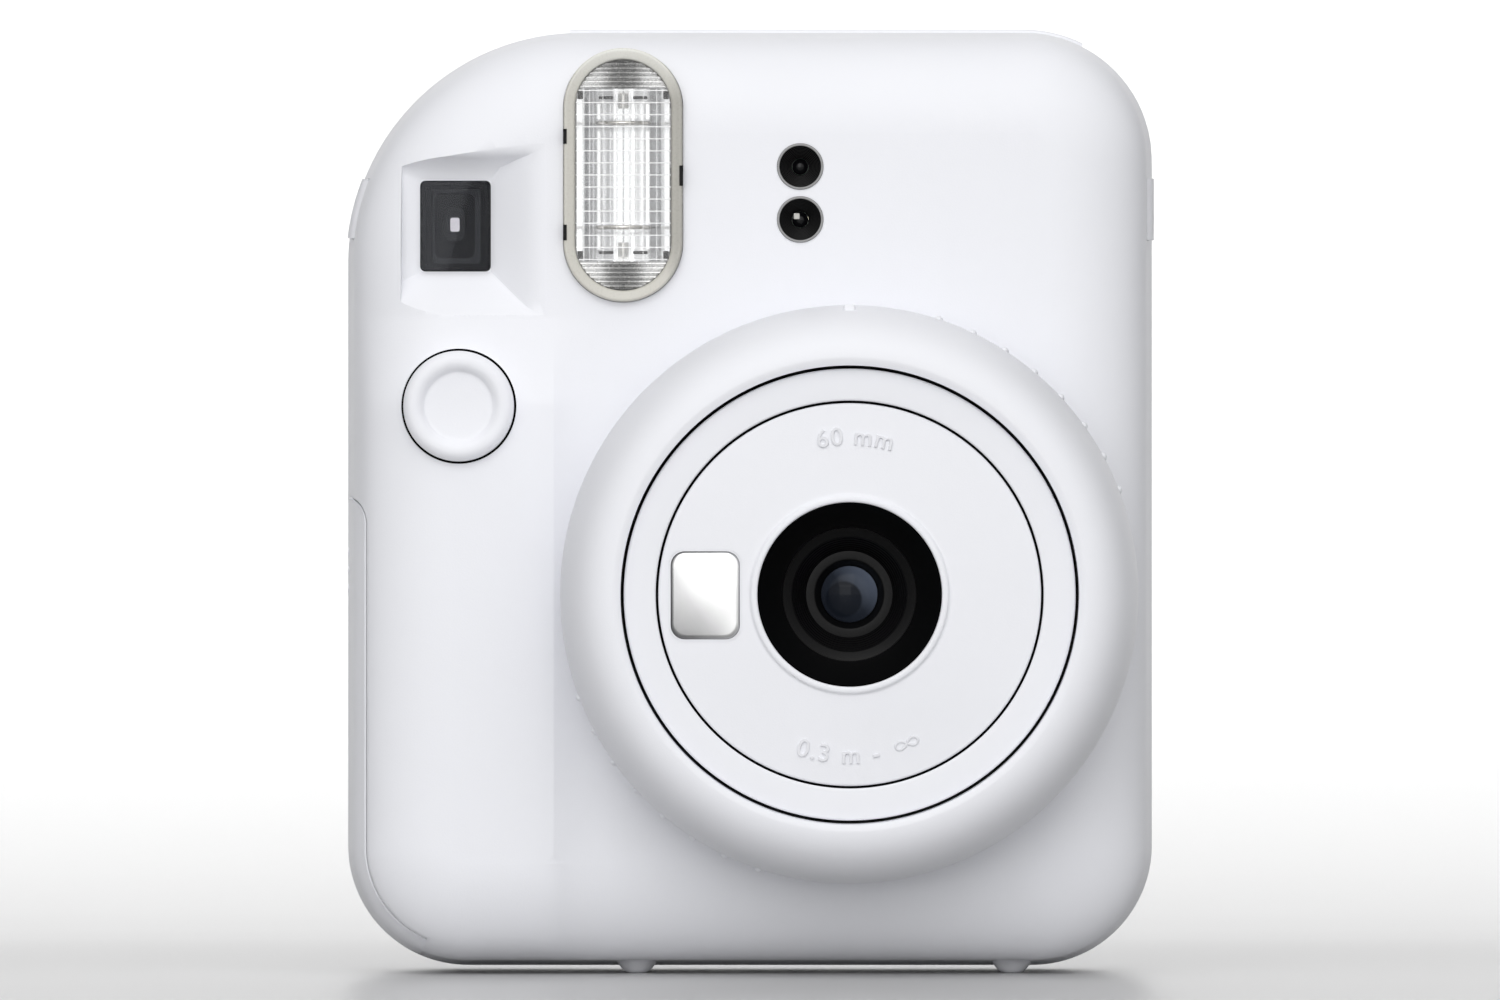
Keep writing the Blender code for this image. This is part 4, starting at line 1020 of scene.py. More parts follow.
def make_lens_stages(white, black, coated, mirror, figures):
    centre = (LENS_X, LENS_Z)
    mid = eased([
        (PANEL_R + 0.32, MID_FRONT, 0.3), (MID_R, MID_FRONT, 0.35), (MID_R, -12.0, 0.1), (27.2, -12.0, 0.1),
        (27.2, -30.0, 0.1), (PANEL_R + 0.32, -30.0, 0.1),
    ])
    turned("middle_tube", mid, centre, "mid_tube", white, steps=192,
           replaces=["lens_mid_tube"])
    front = PANEL_FRONT
    panel = eased([
        (11.75, front - 0.45, 0.35), (12.55, front - 0.45, 0.35), (12.75, front, 0.3), (PANEL_R, front, 0.35),
        (PANEL_R, -12.0, 0.1), (22.9, -12.0, 0.1), (22.9, -29.4, 0.1), (11.75, -29.4, 0.1),
    ])
    face = turned("front_panel", panel, centre, "lens_head", white, steps=192,
                  replaces=["lens_front_panel"])
    low, high = box_mm("selfie_mirror")
    x, z = (low[0] + high[0]) / 2, (low[2] + high[2]) / 2
    w, h = high[0] - low[0], high[2] - low[2]
    carve(face, [stack_mesh(round_rect(x, z, w + 0.5, h + 0.5, 2.0, 10), [(0, -40), (0, front + 1.1)])])
    # the mirror bulges: y = y0 - 0.12 (1 - u^2)(1 - v^2) over its width and height
    outline = round_rect(x, z, w, h, 1.8, 12)
    edge = [(0, low[1] + 0.9), (0, low[1] + 0.42), (0.1, low[1] + 0.3)]
    points, faces = pillow_mesh(outline, (x, z), edge, w, h, -0.12)
    piece("little_mirror", points, faces, "lens_head", mirror, ["selfie_mirror"], 60)
    rim = [(-0.24, front + 0.9), (-0.24, front - 0.06), (-0.02, front - 0.06), (-0.02, front + 0.9)]
    stack("mirror_rim", outline, rim, "lens_head", white, ring=True)

    # the black cone: a smooth slope, a deep ledge, then a run of fine threads down to the glass
    inner = [(11.6, front - 0.1), (11.45, front + 0.25), (8.7, front + 3.6), (8.55, front + 3.75)]
    inner += [(8.5, front + 5.2), (7.5, front + 5.6)]
    for i in range(7):
        r, y = 7.35 - 0.27 * i, front + 5.7 + 0.42 * i
        inner += [(r, y), (r - 0.13, y + 0.3)]
    inner += [(5.45, front + 8.7), (5.45, -18.5), (11.6, -18.5)]
    turned("black_cone", inner, centre, "lens_head", black, steps=144,
           replaces=["lens_cone"], sharp=25)
    cell = eased([
        (5.6, -22.9, 0.1), (5.6, -14.0, 0.1), (3.3, -14.0, 0.1), (3.3, -19.0, 0.05), (3.65, -21.6, 0.1),
        (4.4, -22.9, 0.2),
    ])
    turned("glass_cell", cell, centre, "lens_head", black, steps=96, replaces=["lens_cell"])
    # lens faces are spherical: y = vertex + r^2 / (2 R)
    r = np.linspace(0, 3.6, 14)
    front_face = np.stack([r, -22.7 + r**2 / 13.0], -1)
    glass = np.concatenate([front_face, [(3.6, -20.2), (3.2, -20.0), (0, -20.0)]])
    turned("front_glass", glass, centre, "lens_head", coated, steps=72, replaces=["front_element"])
    r = np.linspace(3.2, 0, 10)
    rear = np.concatenate([[(0, -17.4), (3.2, -17.4)], np.stack([r, -14.5 - r**2 / 14.0], -1)])
    turned("rear_glass", rear, centre, "lens_head", coated, steps=48, replaces=["rear_element"])
    numerals("60 mm", 20.3, 90 - 2, True, 2.4, "figures_focal", "lens_head", figures)
    numerals("0.3 m -", 20.3, 270 - 4, False, 2.4, "figures_near", "lens_head", figures)
    infinity_sign(20.3, math.radians(270 + 21), 1.5, "lens_head", figures)


# ---------------------------------------------------------------- flash, finder, sensors, button


FLASH_HALF = (5.95, 11.1)  # half width and half height of the bright middle part


def make_flash(bezel, clear, chrome, ribbed, tube_glass, electrode, black):
    low, high = box_mm("flash_bezel")
    cx, cz = FLASH[0], FLASH[2]
    outline = stadium(cx, cz, high[0] - low[0], high[2] - low[2])
    ring = eased([(0, -5.5, 0), (0, low[1], 0.5), (1.45, low[1] + 0.35, 0.35), (1.5, -5.5, 0)], 6)
    stack("flash_surround", outline, ring, "camera_body", bezel, ring=True,
          replaces=["flash_bezel"])
    # short black blocks in the outer wall of the surround stand in for the shade in its slots
    parts = [
        block_mesh((cx + x - 0.22, low[1] - 0.02, cz + z0), (cx + x + 0.22, -9.0, cz + z1))
        for x, z0, z1 in ((-7.45, 4.0, 5.9), (-7.45, -8.4, -6.4), (7.45, -1.4, 1.2))
    ]
    points, faces = merged(parts)
    piece("surround_slot_shade", points, faces, "camera_body", black)
    # the window is a clear stadium: a pillow that bulges by 0.5 mm
    half_w, half_h = 6.13, 14.78
    pane = stadium(cx, cz, 2 * half_w, 2 * half_h)
    edge = [(0, -10.9), (0, -11.8), (0.05, -11.87)]
    points, faces = pillow_mesh(pane, (cx, cz), edge, 2 * half_w, 2 * half_h, -0.25)
    piece("flash_lens", points, faces, "camera_body", clear, ["flash_window"], 50)
    # ribs across the round ends: each end is a sheet whose front ripples, y = y0 - a |sin(pi z / pitch)|
    pitch, inner = 0.58, FLASH_HALF[1]
    v = np.linspace(inner, half_h - 0.1, 120)
    chord = np.sqrt(np.maximum(half_w**2 - (v - half_h + half_w) ** 2, 0.02))
    width = np.where(v > half_h - half_w, chord, half_w)
    u = np.linspace(-1, 1, 25)
    for name, sign in (("top", 1), ("bottom", -1)):
        x = cx + u[None] * width[:, None]
        ripple = 0.34 * np.abs(np.sin((v - inner) * math.pi / pitch)) ** 0.8
        front = -10.75 - ripple[:, None] + 0 * x
        z = cz + sign * v[:, None] + 0 * x
        rows = np.concatenate([np.stack([x, front, z], -1), np.stack([x, -10.3 + 0 * x, z], -1)[:, ::-1]], 1)
        count = rows.shape[1]
        faces = grid_faces(len(v), count, False, True)
        faces += [tuple(range(count)), tuple(range((len(v) - 1) * count, len(v) * count))[::-1]]
        piece(f"flash_ribs_{name}", rows, faces, "camera_body", ribbed, sharp=60)
    # the reflector is a trough across X: a deep middle between upright flutes, closed by sloping ends
    u, v = np.linspace(-1, 1, 121), np.linspace(-1, 1, 81)
    uu, vv = np.meshgrid(u, v, indexing="ij")
    ends = 1 - np.clip((np.abs(vv) - 0.86) / 0.14, 0, 1) ** 1.4
    depth = 5.6 * (1 - np.abs(uu) ** 2.4) * ends
    flute = 0.3 * np.cos(uu * math.pi * 6.5) * (1 - np.abs(uu) ** 6) * ends
    bead = 0.5 * np.exp(-(((np.abs(vv) - 0.6) / 0.035) ** 2)) * (1 - uu**2)
    y = -10.2 + depth + flute - bead
    front = np.stack([cx + FLASH_HALF[0] * uu, y, cz + FLASH_HALF[1] * vv], -1)
    back = np.stack([cx + FLASH_HALF[0] * uu, y + 0.5, cz + FLASH_HALF[1] * vv], -1)[:, ::-1]
    rows = np.concatenate([front, back], 1)
    count = rows.shape[1]
    faces = grid_faces(len(u), count, False, True)
    faces += [tuple(range(count)), tuple(range((len(u) - 1) * count, len(u) * count))[::-1]]
    piece("fluted_reflector", rows, faces, "camera_body", chrome, ["flash_reflector"], 50)
    low, high = box_mm("flash_tube")
    tube = eased([(0, low[2], 0), (1.1, low[2], 0.5), (1.1, high[2], 0.5), (0, high[2], 0)])
    turned("xenon_tube", tube, (cx, -7.2), "camera_body", tube_glass, "z", 40, ["flash_tube"])
    # at each end of the tube: a metal cap, two rings round the glass, and black pieces that stand in for the
    # shade in the mouths it passes through and in the reflector's corners
    caps, rings, mouths = [], [], []
    for sign in (-1, 1):
        z0, z1 = sorted((cz + sign * 8.6, cz + sign * 10.6))
        cap = eased([(0, z0, 0), (0.7, z0, 0.2), (0.7, z1, 0.2), (0, z1, 0)])
        caps.append(turned_mesh(cap, (cx, -7.2), "z", 24))
        t = np.linspace(0, TAU, 16, endpoint=False)
        for radius in (1.5, 3.4):
            section = np.stack([radius + 0.26 * np.cos(t), cz + sign * 6.7 + 0.26 * np.sin(t)], -1)
            rings.append(turned_mesh(section, (cx, -7.6), "z", 48))
        for side in (-1, 1):
            mouth = round_rect(cx + side * 2.2, cz + sign * 9.95, 1.9, 0.4, 0.19, 5)
            mouths.append(stack_mesh(mouth, [(0, -9.7), (0, -10.3), (0.05, -10.35)]))
            corner = round_rect(cx + side * 5.5, cz + sign * 10.3, 0.7, 1.1, 0.15, 4)
            mouths.append(stack_mesh(corner, [(0, -9.7), (0, -10.4), (0.05, -10.45)]))
    for name, parts, finish, slot in (
        ("tube_caps", caps, electrode, "steel"), ("tube_rings", rings, electrode, "steel"),
        ("tube_mouth_shade", mouths, black, "moulding_black"),
    ):
        points, faces = merged(parts)
        piece(name, points, faces, "camera_body", finish)


def frame_plate(x, z, width, height, radius, hole, y, thickness=0.8):
    """A plate with a rounded window: outer outline, then the window's outline, closed into a ring."""
    outer = round_rect(x, z, width, height, radius, 6)(0)
    inner = round_rect(*hole, 6)(0)
    rows = [along("y", *outer.T, y), along("y", *outer.T, y + thickness), along("y", *inner.T, y + thickness),
            along("y", *inner.T, y)]
    return np.array(rows).reshape(-1, 3), grid_faces(4, len(outer), True, True)


def make_finder(black, grey, tinted, glass, lit):
    low, high = box_mm("viewfinder_window")
    x, z = FINDER[0], FINDER[2]
    outline = round_rect(x, z, 8.85, 11.45, 0.45, 6)
    stack("finder_glass", outline, slab(low[1] + 0.2, high[1], 0.12), "camera_body", tinted,
          replaces=["viewfinder_window"], sharp=25)
    tunnel = round_rect(x, z, 9.2, 11.8, 0.5, 5)
    walls = [(0, -6.5), (0, 30.8), (0.9, 30.8), (0.9, -6.5)]
    stack("finder_tunnel", tunnel, walls, "camera_body", black, ring=True,
          replaces=["viewfinder_housing"])
    # masks inside the tunnel: each window is smaller and deeper than the one before
    plates = (
        ("finder_mask_outer", (x + 0.1, z, 6.2, 9.6, 0.4), -5.4),
        ("finder_mask_middle", (x - 0.15, z + 0.1, 5.2, 8.4, 1.0), -3.2),
        ("finder_mask_inner", (x - 0.2, z + 0.3, 2.6, 4.3, 0.9), -1.2),
        ("finder_mask_eye", (x - 0.2, z + 0.3, 1.2, 1.8, 0.3), 1.4),
    )
    for (name, hole, y), finish in zip(plates, (black, grey, black, grey)):
        points, faces = frame_plate(x, z, 7.4, 10.0, 0.4, hole, y)
        piece(name, points, faces, "camera_body", finish)
    # the sight glows with painted light, standing in for the daylight seen through the finder
    sight = round_rect(x - 0.2, z + 0.3, 1.3, 1.9, 0.3, 5)
    stack("finder_sight", sight, slab(1.9, 2.4, 0.1), "camera_body", lit)
    low, high = box_mm("viewfinder_eyepiece")
    eye = round_rect(EYEPIECE[0], EYEPIECE[2], 12.6, 14.6, 1.9, 8)
    surround = [
        (0, low[1] - 0.2), (0, high[1] + 0.1), (0.5, high[1] + 0.4), (2.2, high[1] - 0.1),
        (2.6, low[1] - 0.2),
    ]
    stack("eyepiece_cup", eye, surround, "camera_body", black, ring=True)
    pane = round_rect(EYEPIECE[0], EYEPIECE[2], 7.3, 9.3, 1.0, 6)
    levels = [(0, low[1] - 0.1), (0, high[1] - 0.7), (0.2, high[1] - 0.5)]
    points, faces = pillow_mesh(pane, (EYEPIECE[0], EYEPIECE[2]), levels, 7.3, 9.3, 0.3)
    piece("eyepiece_glass", points, faces, "camera_body", glass, ["viewfinder_eyepiece"], 60)


def make_sensors(black, rim, coated, pale):
    for side in ("upper", "lower"):
        x, _, z = middle_mm(f"sensor_barrel_{side}")
        profile = [(2.95, -11.12), (2.95, -6.0), (1.1, -6.0)]
        for i in range(9):
            r, y = 1.1 + 0.17 * i, -8.0 - 0.33 * i
            profile += [(r, y), (r + 0.12, y - 0.05)]
        profile += [(2.66, -11.2)]
        turned(f"sensor_funnel_{side}", profile, (x, z), "camera_body", black, steps=64,
               replaces=[f"sensor_barrel_{side}"], sharp=25)
        ring = eased([(2.66, -11.22, 0.08), (2.98, -11.22, 0.1), (2.98, -10.6, 0), (2.66, -10.6, 0)], 3)
        turned(f"sensor_rim_{side}", ring, (x, z), "camera_body", rim, steps=64)
        r = np.linspace(0, 1.02, 8)
        dome = np.concatenate([np.stack([r, -8.6 + r**2 / 2.6], -1), [(1.02, -6.4), (0, -6.4)]])
        turned(f"sensor_glass_{side}", dome, (x, z), "camera_body", coated, steps=32,
               replaces=[f"sensor_lens_{side}"])
    x, _, z = middle_mm("sensor_barrel_lower")
    die = round_rect(x - 0.45, z + 0.45, 0.75, 0.75, 0.12, 3)
    stack("sensor_die", die, slab(-8.75, -8.45, 0.05), "camera_body", pale)


def make_button(settings, white, black):
    """The release button: a dished disc inside a round rim, on a stem, with a black guide round it."""
    low, high = box_mm("shutter_button")
    radius, dish = (high[0] - low[0]) / 2, settings.dish / MM
    front = low[1]
    t = np.linspace(0, 1, 14)
    floor = np.stack([t * 4.3, front + dish + 0.15 - 0.15 * t**2], -1)
    u = np.linspace(0, 1, 22)[1:]
    rim = np.stack([4.3 + (radius - 4.3) * u, front + dish * (np.abs(2 * u - 1.06) ** 2.4)], -1)
    rim[:, 1] = np.minimum(rim[:, 1], front + dish + 0.3)
    # behind, a pocket round the stem takes in the end of the spring
    edge = [
        (radius, front + 1.6), (radius, -8.6), (3.9, -8.6), (3.9, -10.8), (1.8, -10.8), (1.8, high[1]),
        (0, high[1]),
    ]
    profile = np.concatenate([floor, rim, edge])
    near, far = radius - 0.1, radius + 0.9
    guide = eased([(near, -8.7, 0.05), (far, -8.7, 0), (far, -6.6, 0), (near, -6.6, 0)], 2)
    turned("button_guide", guide, (BUTTON[0], BUTTON[2]), "camera_body", black, steps=96)
    turned("release_cap", profile, (BUTTON[0], BUTTON[2]), "release_button", white, steps=128,
           replaces=["shutter_button"], sharp=50)


# ---------------------------------------------------------------- latch, windows, inner works


def make_back_details(white, tinted, ivory, ink):
    low, high = box_mm("door_latch")
    outline = round_rect(LATCH[0], LATCH[2], high[0] - low[0], high[2] - low[2], 1.6, 8)
    latch = stack("latch_slide", outline, slab(low[1], high[1], 0.35, 4), "latch", white,
                  replaces=["door_latch"])
    bottom, up, down = high[1] - 0.45, LATCH[2] + 5, LATCH[2] - 5
    grooves = LATCH[0] + 1.5 * np.arange(-2, 3)
    carve(latch, [block_mesh((x - 0.3, bottom, down), (x + 0.3, 40, up)) for x in grooves])
    low, high = box_mm("film_window")
    size, centre = high - low, (low + high) / 2
    pane = round_rect(centre[0], centre[2], size[0], size[2], 3.7, 10)
    stack("pack_window", pane, slab(low[1], high[1], 0.25), "back_door", tinted,
          replaces=["film_window"])
    low, high = box_mm("counter_window")
    pane = round_rect(COUNTER[0], COUNTER[2], 6.0, 6.0, 1.3, 8)
    stack("count_window", pane, slab(low[1], high[1], 0.25), "camera_body", tinted,
          replaces=["counter_window"])
    x, _, z = middle_mm("counter_dial")
    low, high = box_mm("counter_dial")
    dial = eased([
        (0, low[1], 0), (8.0, low[1], 0.2), (8.0, 28.6, 0.2), (1.4, 28.6, 0.1), (1.4, high[1], 0.2),
        (0, high[1], 0),
    ])
    turned("count_dial", dial, (x, z), "counter", ivory, steps=96, replaces=["counter_dial"])
    # tick marks for the frames that are left, each a small raised bar
    parts = []
    for i in range(11):
        turn = math.radians(90 + 30 * i)
        c, s = math.cos(turn), math.sin(turn)
        bar = ((4.6, -0.25), (6.9, -0.25), (6.9, 0.25), (4.6, 0.25))
        corners = [(r * c - w * s, r * s + w * c) for r, w in bar]
        outline = np.array([(x + a, z + b) for a, b in corners])
        parts.append(stack_mesh(lambda inset, o=outline: o, [(0, 28.5), (0, 28.72)]))
    points, faces = merged(parts)
    piece("count_ticks", points, faces, "counter", ink)


def make_cells(sleeve):
    """Each cell is a turned can with crimped ends and a raised positive tip."""
    for side in ("front", "rear"):
        low, high = box_mm(f"battery_{side}")
        x, y = (low[0] + high[0]) / 2, (low[1] + high[1]) / 2
        z0, z1 = low[2], high[2]
        can = eased([
            (0, z0, 0), (6.5, z0, 0.1), (6.7, z0 + 0.35, 0.1), (7.22, z0 + 0.35, 0.5), (7.22, z1 - 1.7, 0.5),
            (6.6, z1 - 1.35, 0.2), (3.4, z1 - 1.3, 0.1), (2.75, z1 - 1.3, 0.1), (2.7, z1, 0.3), (0, z1, 0),
        ])
        turned(f"cell_{side}", can, (x, y), "camera_body", sleeve, "z", 72, [f"battery_{side}"])


def make_rollers(steel, rubber):
    """Rollers: polished barrels on thinner shafts. The gear teeth stay on their CAD solids' ends."""
    for name, body in (("drive_roller", "lower_roller"), ("pressure_roller", "upper_roller")):
        low, high = box_mm(name)
        y, z = (low[1] + high[1]) / 2, (low[2] + high[2]) / 2
        barrel = eased([(1.15, -17.55, 0), (3.28, -17.55, 0.3), (3.28, 42.55, 0.3), (1.15, 42.55, 0)], 5)
        turned(f"{name}_barrel", barrel, (y, z), body, steel, "x", 72)
    parts = []
    low, high = box_mm("pressure_roller")
    y, z = (low[1] + high[1]) / 2, (low[2] + high[2]) / 2
    for x in (-14.0, 39.0):
        near, far = x - 1.5, x + 1.5
        band = eased([(3.2, near, 0.1), (3.38, near, 0.1), (3.38, far, 0.1), (3.2, far, 0.1)], 3)
        parts.append(turned_mesh(band, (y, z), "x", 72))
    points, faces = merged(parts)
    piece("roller_end_bands", points, faces, "upper_roller", rubber)


def make_film_pack(black, paper, steel):
    """The pack's case with ribs on its back, pull tab and the dark sheet seen through its pad holes."""
    low, high = box_mm("film_pack")
    parts = []
    for i in range(5):
        z = 80.0 + 3.2 * i
        rib = round_rect(LENS_X, z, 40.0, 1.2, 0.5, 4)
        parts.append(stack_mesh(rib, [(0, high[1] - 0.3), (0, high[1] + 0.35), (0.25, high[1] + 0.5)]))
    mark = round_rect(LENS_X + 24.0, 90.0, 4.0, 9.0, 0.6, 4)
    parts.append(stack_mesh(mark, [(0, high[1] - 0.3), (0, high[1] + 0.2), (0.2, high[1] + 0.3)]))
    points, faces = merged(parts)
    piece("pack_ribs", points, faces, "camera_body", black)
    for side, x in (("left", LENS_X - 13.0), ("right", LENS_X + 13.0)):
        sheet = round_rect(x, 50.0, 8.8, 45.8, 1.9, 5)
        stack(f"pack_pad_{side}", sheet, slab(25.2, 25.9, 0.1), "camera_body", paper)
    low, high = box_mm("pressure_plate")
    for side, x in (("left", LENS_X - 13.0), ("right", LENS_X + 13.0)):
        # a bowed leaf spring: y = y0 - 2 cos^2
        u, v = np.meshgrid(np.linspace(-1, 1, 5), np.linspace(-1, 1, 33), indexing="ij")
        y = low[1] + 0.3 - 2.2 * np.cos(v * math.pi / 2) ** 2
        front = np.stack([x + 3.2 * u, y, 50 + 19 * v], -1)
        back = np.stack([x + 3.2 * u, y + 0.35, 50 + 19 * v], -1)[:, ::-1]
        rows = np.concatenate([front, back], 1)
        count = rows.shape[1]
        ends = [tuple(range(count)), tuple(range(4 * count, 5 * count))[::-1]]
        faces = grid_faces(5, count, False, True) + ends
        piece(f"leaf_spring_{side}", rows, faces, "back_door", steel)


# ---------------------------------------------------------------- materials


def ramp(finish, value, stops):
    """A colour ramp of (position, grey) stops over a value."""
    node = finish.tree.nodes.new("ShaderNodeValToRGB")
    elements = node.color_ramp.elements
    for position, grey in stops[2:]:
        elements.new(position)
    for element, (position, grey) in zip(elements, sorted(stops)):
        element.position, element.color = position, (grey, grey, grey, 1.0)
    finish.set(node, {0: value})
    return Value(finish, node.outputs[0])


def gridded_flash_lens():
    """Clear window of the flash: level and upright moulded lines show as fine white threads."""
    finish = Finish("flash_lens_clear", ior=1.49, coat_weight=0.5, coat_roughness=0.03)
    x, _, z = finish.axes()
    dx, dz = (x - FLASH[0] * MM) / MM, (z - FLASH[2] * MM) / MM
    level = ((dz / 1.55).fraction() - 0.5).size().above(0.455)
    upright = ((dx / 1.72 + 0.5).fraction() - 0.5).size().above(0.47)
    middle = dz.size().below(FLASH_HALF[1])
    haze = finish.noise(0.0012, 3.0)
    alpha = (level * 0.6 + upright * 0.3) * middle + haze * 0.05 + 0.05
    return finish.paint(base_color=finish.mix(haze, (0.95, 0.95, 0.95), (0.85, 0.85, 0.85)), alpha=alpha,
                        roughness=haze * 0.05 + 0.05)


def reflector_finish():
    """Bright reflector with a painted reflection: the light and dark that the flutes mirror are painted in
    upright bands, darker towards both sides, and it glows with a painted light of the same colour.
    """
    finish = Finish("reflector_painted_reflection", metallic=1.0, emission_strength=0.4)
    x = finish.axes()[0]
    across = (x - (FLASH[0] - FLASH_HALF[0]) * MM) / (2 * FLASH_HALF[0] * MM)
    bands = ramp(finish, across, [
        (0.0, 0.95), (0.07, 0.9), (0.09, 0.12), (0.16, 0.16), (0.175, 0.5), (0.19, 0.2), (0.22, 0.45),
        (0.38, 0.35), (0.41, 1.0), (0.485, 1.0), (0.5, 0.25), (0.515, 1.0), (0.6, 1.0), (0.63, 0.45),
        (0.72, 0.6), (0.76, 0.55), (0.8, 0.15), (0.9, 0.2), (0.92, 0.7), (1.0, 0.75),
    ])
    crumple = finish.noise(0.0011, 4.0)
    tone = finish.mix(crumple * 0.3, bands, (0.75, 0.77, 0.8))
    return finish.paint(base_color=tone, roughness=crumple * 0.2 + 0.12, emission_color=tone)


def bezel_painted_light_finish(colour):
    """Satin champagne plating with painted light: a painted highlight along its top and painted shade
    deepening its tone down its right side.
    """
    finish = Finish("champagne_bezel_painted_light", ior=1.46)
    x, _, z = finish.axes()
    right, top = (x / MM - FLASH[0]) / 7.6, (z / MM - FLASH[2]) / 16.0
    deep = ramp(finish, right * 0.5 + 0.5, [(0.0, 0.0), (1.0, 1.0), (0.86, 0.1), (0.95, 0.9)])
    satin = finish.noise(0.0003, 3.0)
    tone = finish.mix(deep * 0.6, shade(colour, 1.0), shade(colour, 0.45))
    tone = finish.mix((top - 0.6).at_least(0.0) * 1.8, tone, (0.85, 0.85, 0.8))
    finish.bump(satin, 0.000004)
    return finish.paint(base_color=tone, roughness=satin * 0.08 + 0.24)


def ribbed_finish():
    """The round ends of the flash: metal behind clear ribs, with a painted reflection that is darkest along
    the upright middle.
    """
    finish = Finish("ribbed_painted_reflection", metallic=0.6)
    x = finish.axes()[0]
    off = ((x - FLASH[0] * MM) / MM).size() / 6.0
    tone = ramp(finish, off, [(0.0, 0.1), (1.0, 0.9), (0.25, 0.22), (0.5, 0.7)])
    blur = finish.noise(0.001, 2.0)
    tone = finish.mix(blur * 0.25, tone, (0.8, 0.8, 0.76))
    return finish.paint(base_color=tone, roughness=blur * 0.1 + 0.22)


def mirror_painted_reflection_finish():
    """Mirror moulding with a painted reflection: darker at its lower left and brighter at its upper right."""
    finish = Finish("silvered_painted_reflection", metallic=0.85)
    x, _, z = finish.axes()
    low, high = box_mm("selfie_mirror")
    across = (x / MM - low[0]) / (high[0] - low[0])
    up = (z / MM - low[2]) / (high[2] - low[2])
    tone = ramp(finish, across * 0.55 + up * 0.45, [(0.0, 0.12), (1.0, 0.9), (0.35, 0.33), (0.6, 0.6)])
    streak = finish.noise(0.004, 2.0)
    tone = finish.mix(streak * 0.15, tone, (0.9, 0.9, 0.92))
    return finish.paint(base_color=tone, roughness=streak * 0.06 + 0.16)


def coated_glass_painted_reflection():
    """Coated lens glass with a painted reflection: a nearly black disc set low and left, and round it a pale
    blue crescent, a painted highlight, that grows brighter towards the upper right rim."""
    finish = Finish("coated_glass_painted_reflection", ior=1.35, specular_ior_level=0.15)
    x, _, z = finish.axes()
    dx, dz = (x - LENS_X * MM) / (3.6 * MM), (z - LENS_Z * MM) / (3.6 * MM)
    lean = (dx * 0.75 + dz * 0.65) * 0.42 + 0.5
    disc = ((dx + 0.2) * (dx + 0.2) + (dz + 0.18) * (dz + 0.18)) ** 0.5
    outside = ramp(finish, disc, [(0.0, 0.0), (1.0, 1.0), (0.60, 0.0), (0.68, 1.0)])
    crescent = ramp(finish, lean, [(0.0, 0.02), (1.0, 1.0), (0.5, 0.1), (0.75, 0.55)])
    drift = finish.noise(0.004, 1.0)
    tone = finish.mix(drift, (0.006, 0.008, 0.013), (0.012, 0.015, 0.022))
    tone = finish.mix(outside * crescent, tone, (0.13, 0.155, 0.21))
    return finish.paint(base_color=tone, roughness=drift * 0.05 + 0.06)


def painted_glow_finish():
    """The bright far end of the viewfinder: pale, with a light of its own."""
    # the glow is painted light: it stands in for the daylight seen through the finder
    finish = Finish("finder_painted_glow", roughness=0.3, emission_strength=1.6)
    haze = finish.noise(0.0006, 2.0)
    glow = finish.mix(haze, (0.62, 0.6, 0.66), (0.74, 0.72, 0.78))
    return finish.paint(base_color=finish.mix(haze, (0.5, 0.5, 0.52), (0.6, 0.6, 0.62)), emission_color=glow)


def finder_pane_painted_reflection():
    """Smoked pane of the viewfinder with a painted reflection: a slanting line parts a lighter haze at the
    lower left, the painted reflection, from the deep navy of the rest."""
    finish = Finish("finder_pane_painted_reflection", ior=1.45, specular_ior_level=0.25)
    x, _, z = finish.axes()
    lean = (x / MM - FINDER[0]) * 2.2 + (z / MM - FINDER[2]) * -0.55 - 1.2
    side = ramp(finish, lean * 0.12 + 0.5, [(0.0, 0.0), (1.0, 1.0), (0.44, 0.12), (0.52, 0.95)])
    haze = finish.noise(0.004, 2.0)
    tone = finish.mix(side, (0.05, 0.053, 0.062), (0.006, 0.008, 0.014))
    return finish.paint(base_color=tone, alpha=0.3 - side * 0.05 + haze * 0.03, roughness=haze * 0.03 + 0.05)


def board_finish():
    """Solder mask with copper tracks under it, on a 1.2 mm raster, and pads that are bare metal."""
    finish = Finish("board_mask", ior=1.5, coat_weight=0.3)
    z = finish.axes()[2]
    raster = {"vector": finish.place(), "scale": 420.0}
    cells = finish.node("ShaderNodeTexVoronoi", {"distance": "MANHATTAN"}, raster)
    track = ((z / (1.2 * MM)).fraction() - 0.5).size().below(0.16) * cells[0].above(0.3)
    pad = cells[0].below(0.13)
    tone = finish.mix(track, (0.01, 0.09, 0.035), (0.03, 0.2, 0.07))
    tone = finish.mix(pad, tone, (0.7, 0.66, 0.5))
    return finish.paint(base_color=tone, metallic=pad, roughness=0.32 - pad * 0.1)


def sleeve_finish(z0, z1):
    """A cell's printed foil: a copper-coloured top band over a dark body, with a hair line between."""
    finish = Finish("cell_sleeve", ior=1.5, coat_weight=0.8)
    z = finish.axes()[2]
    top = z.above((z0 + (z1 - z0) * 0.7) * MM)
    line = (z - (z0 + (z1 - z0) * 0.7) * MM).size().below(0.35 * MM)
    scuff = finish.noise(0.003, 4.0)
    tone = finish.mix(top, (0.02, 0.022, 0.026), (0.62, 0.32, 0.12))
    tone = finish.mix(line, tone, (0.85, 0.85, 0.86))
    return finish.paint(base_color=tone, metallic=top * 0.8 + 0.1, roughness=scuff * 0.2 + 0.2)


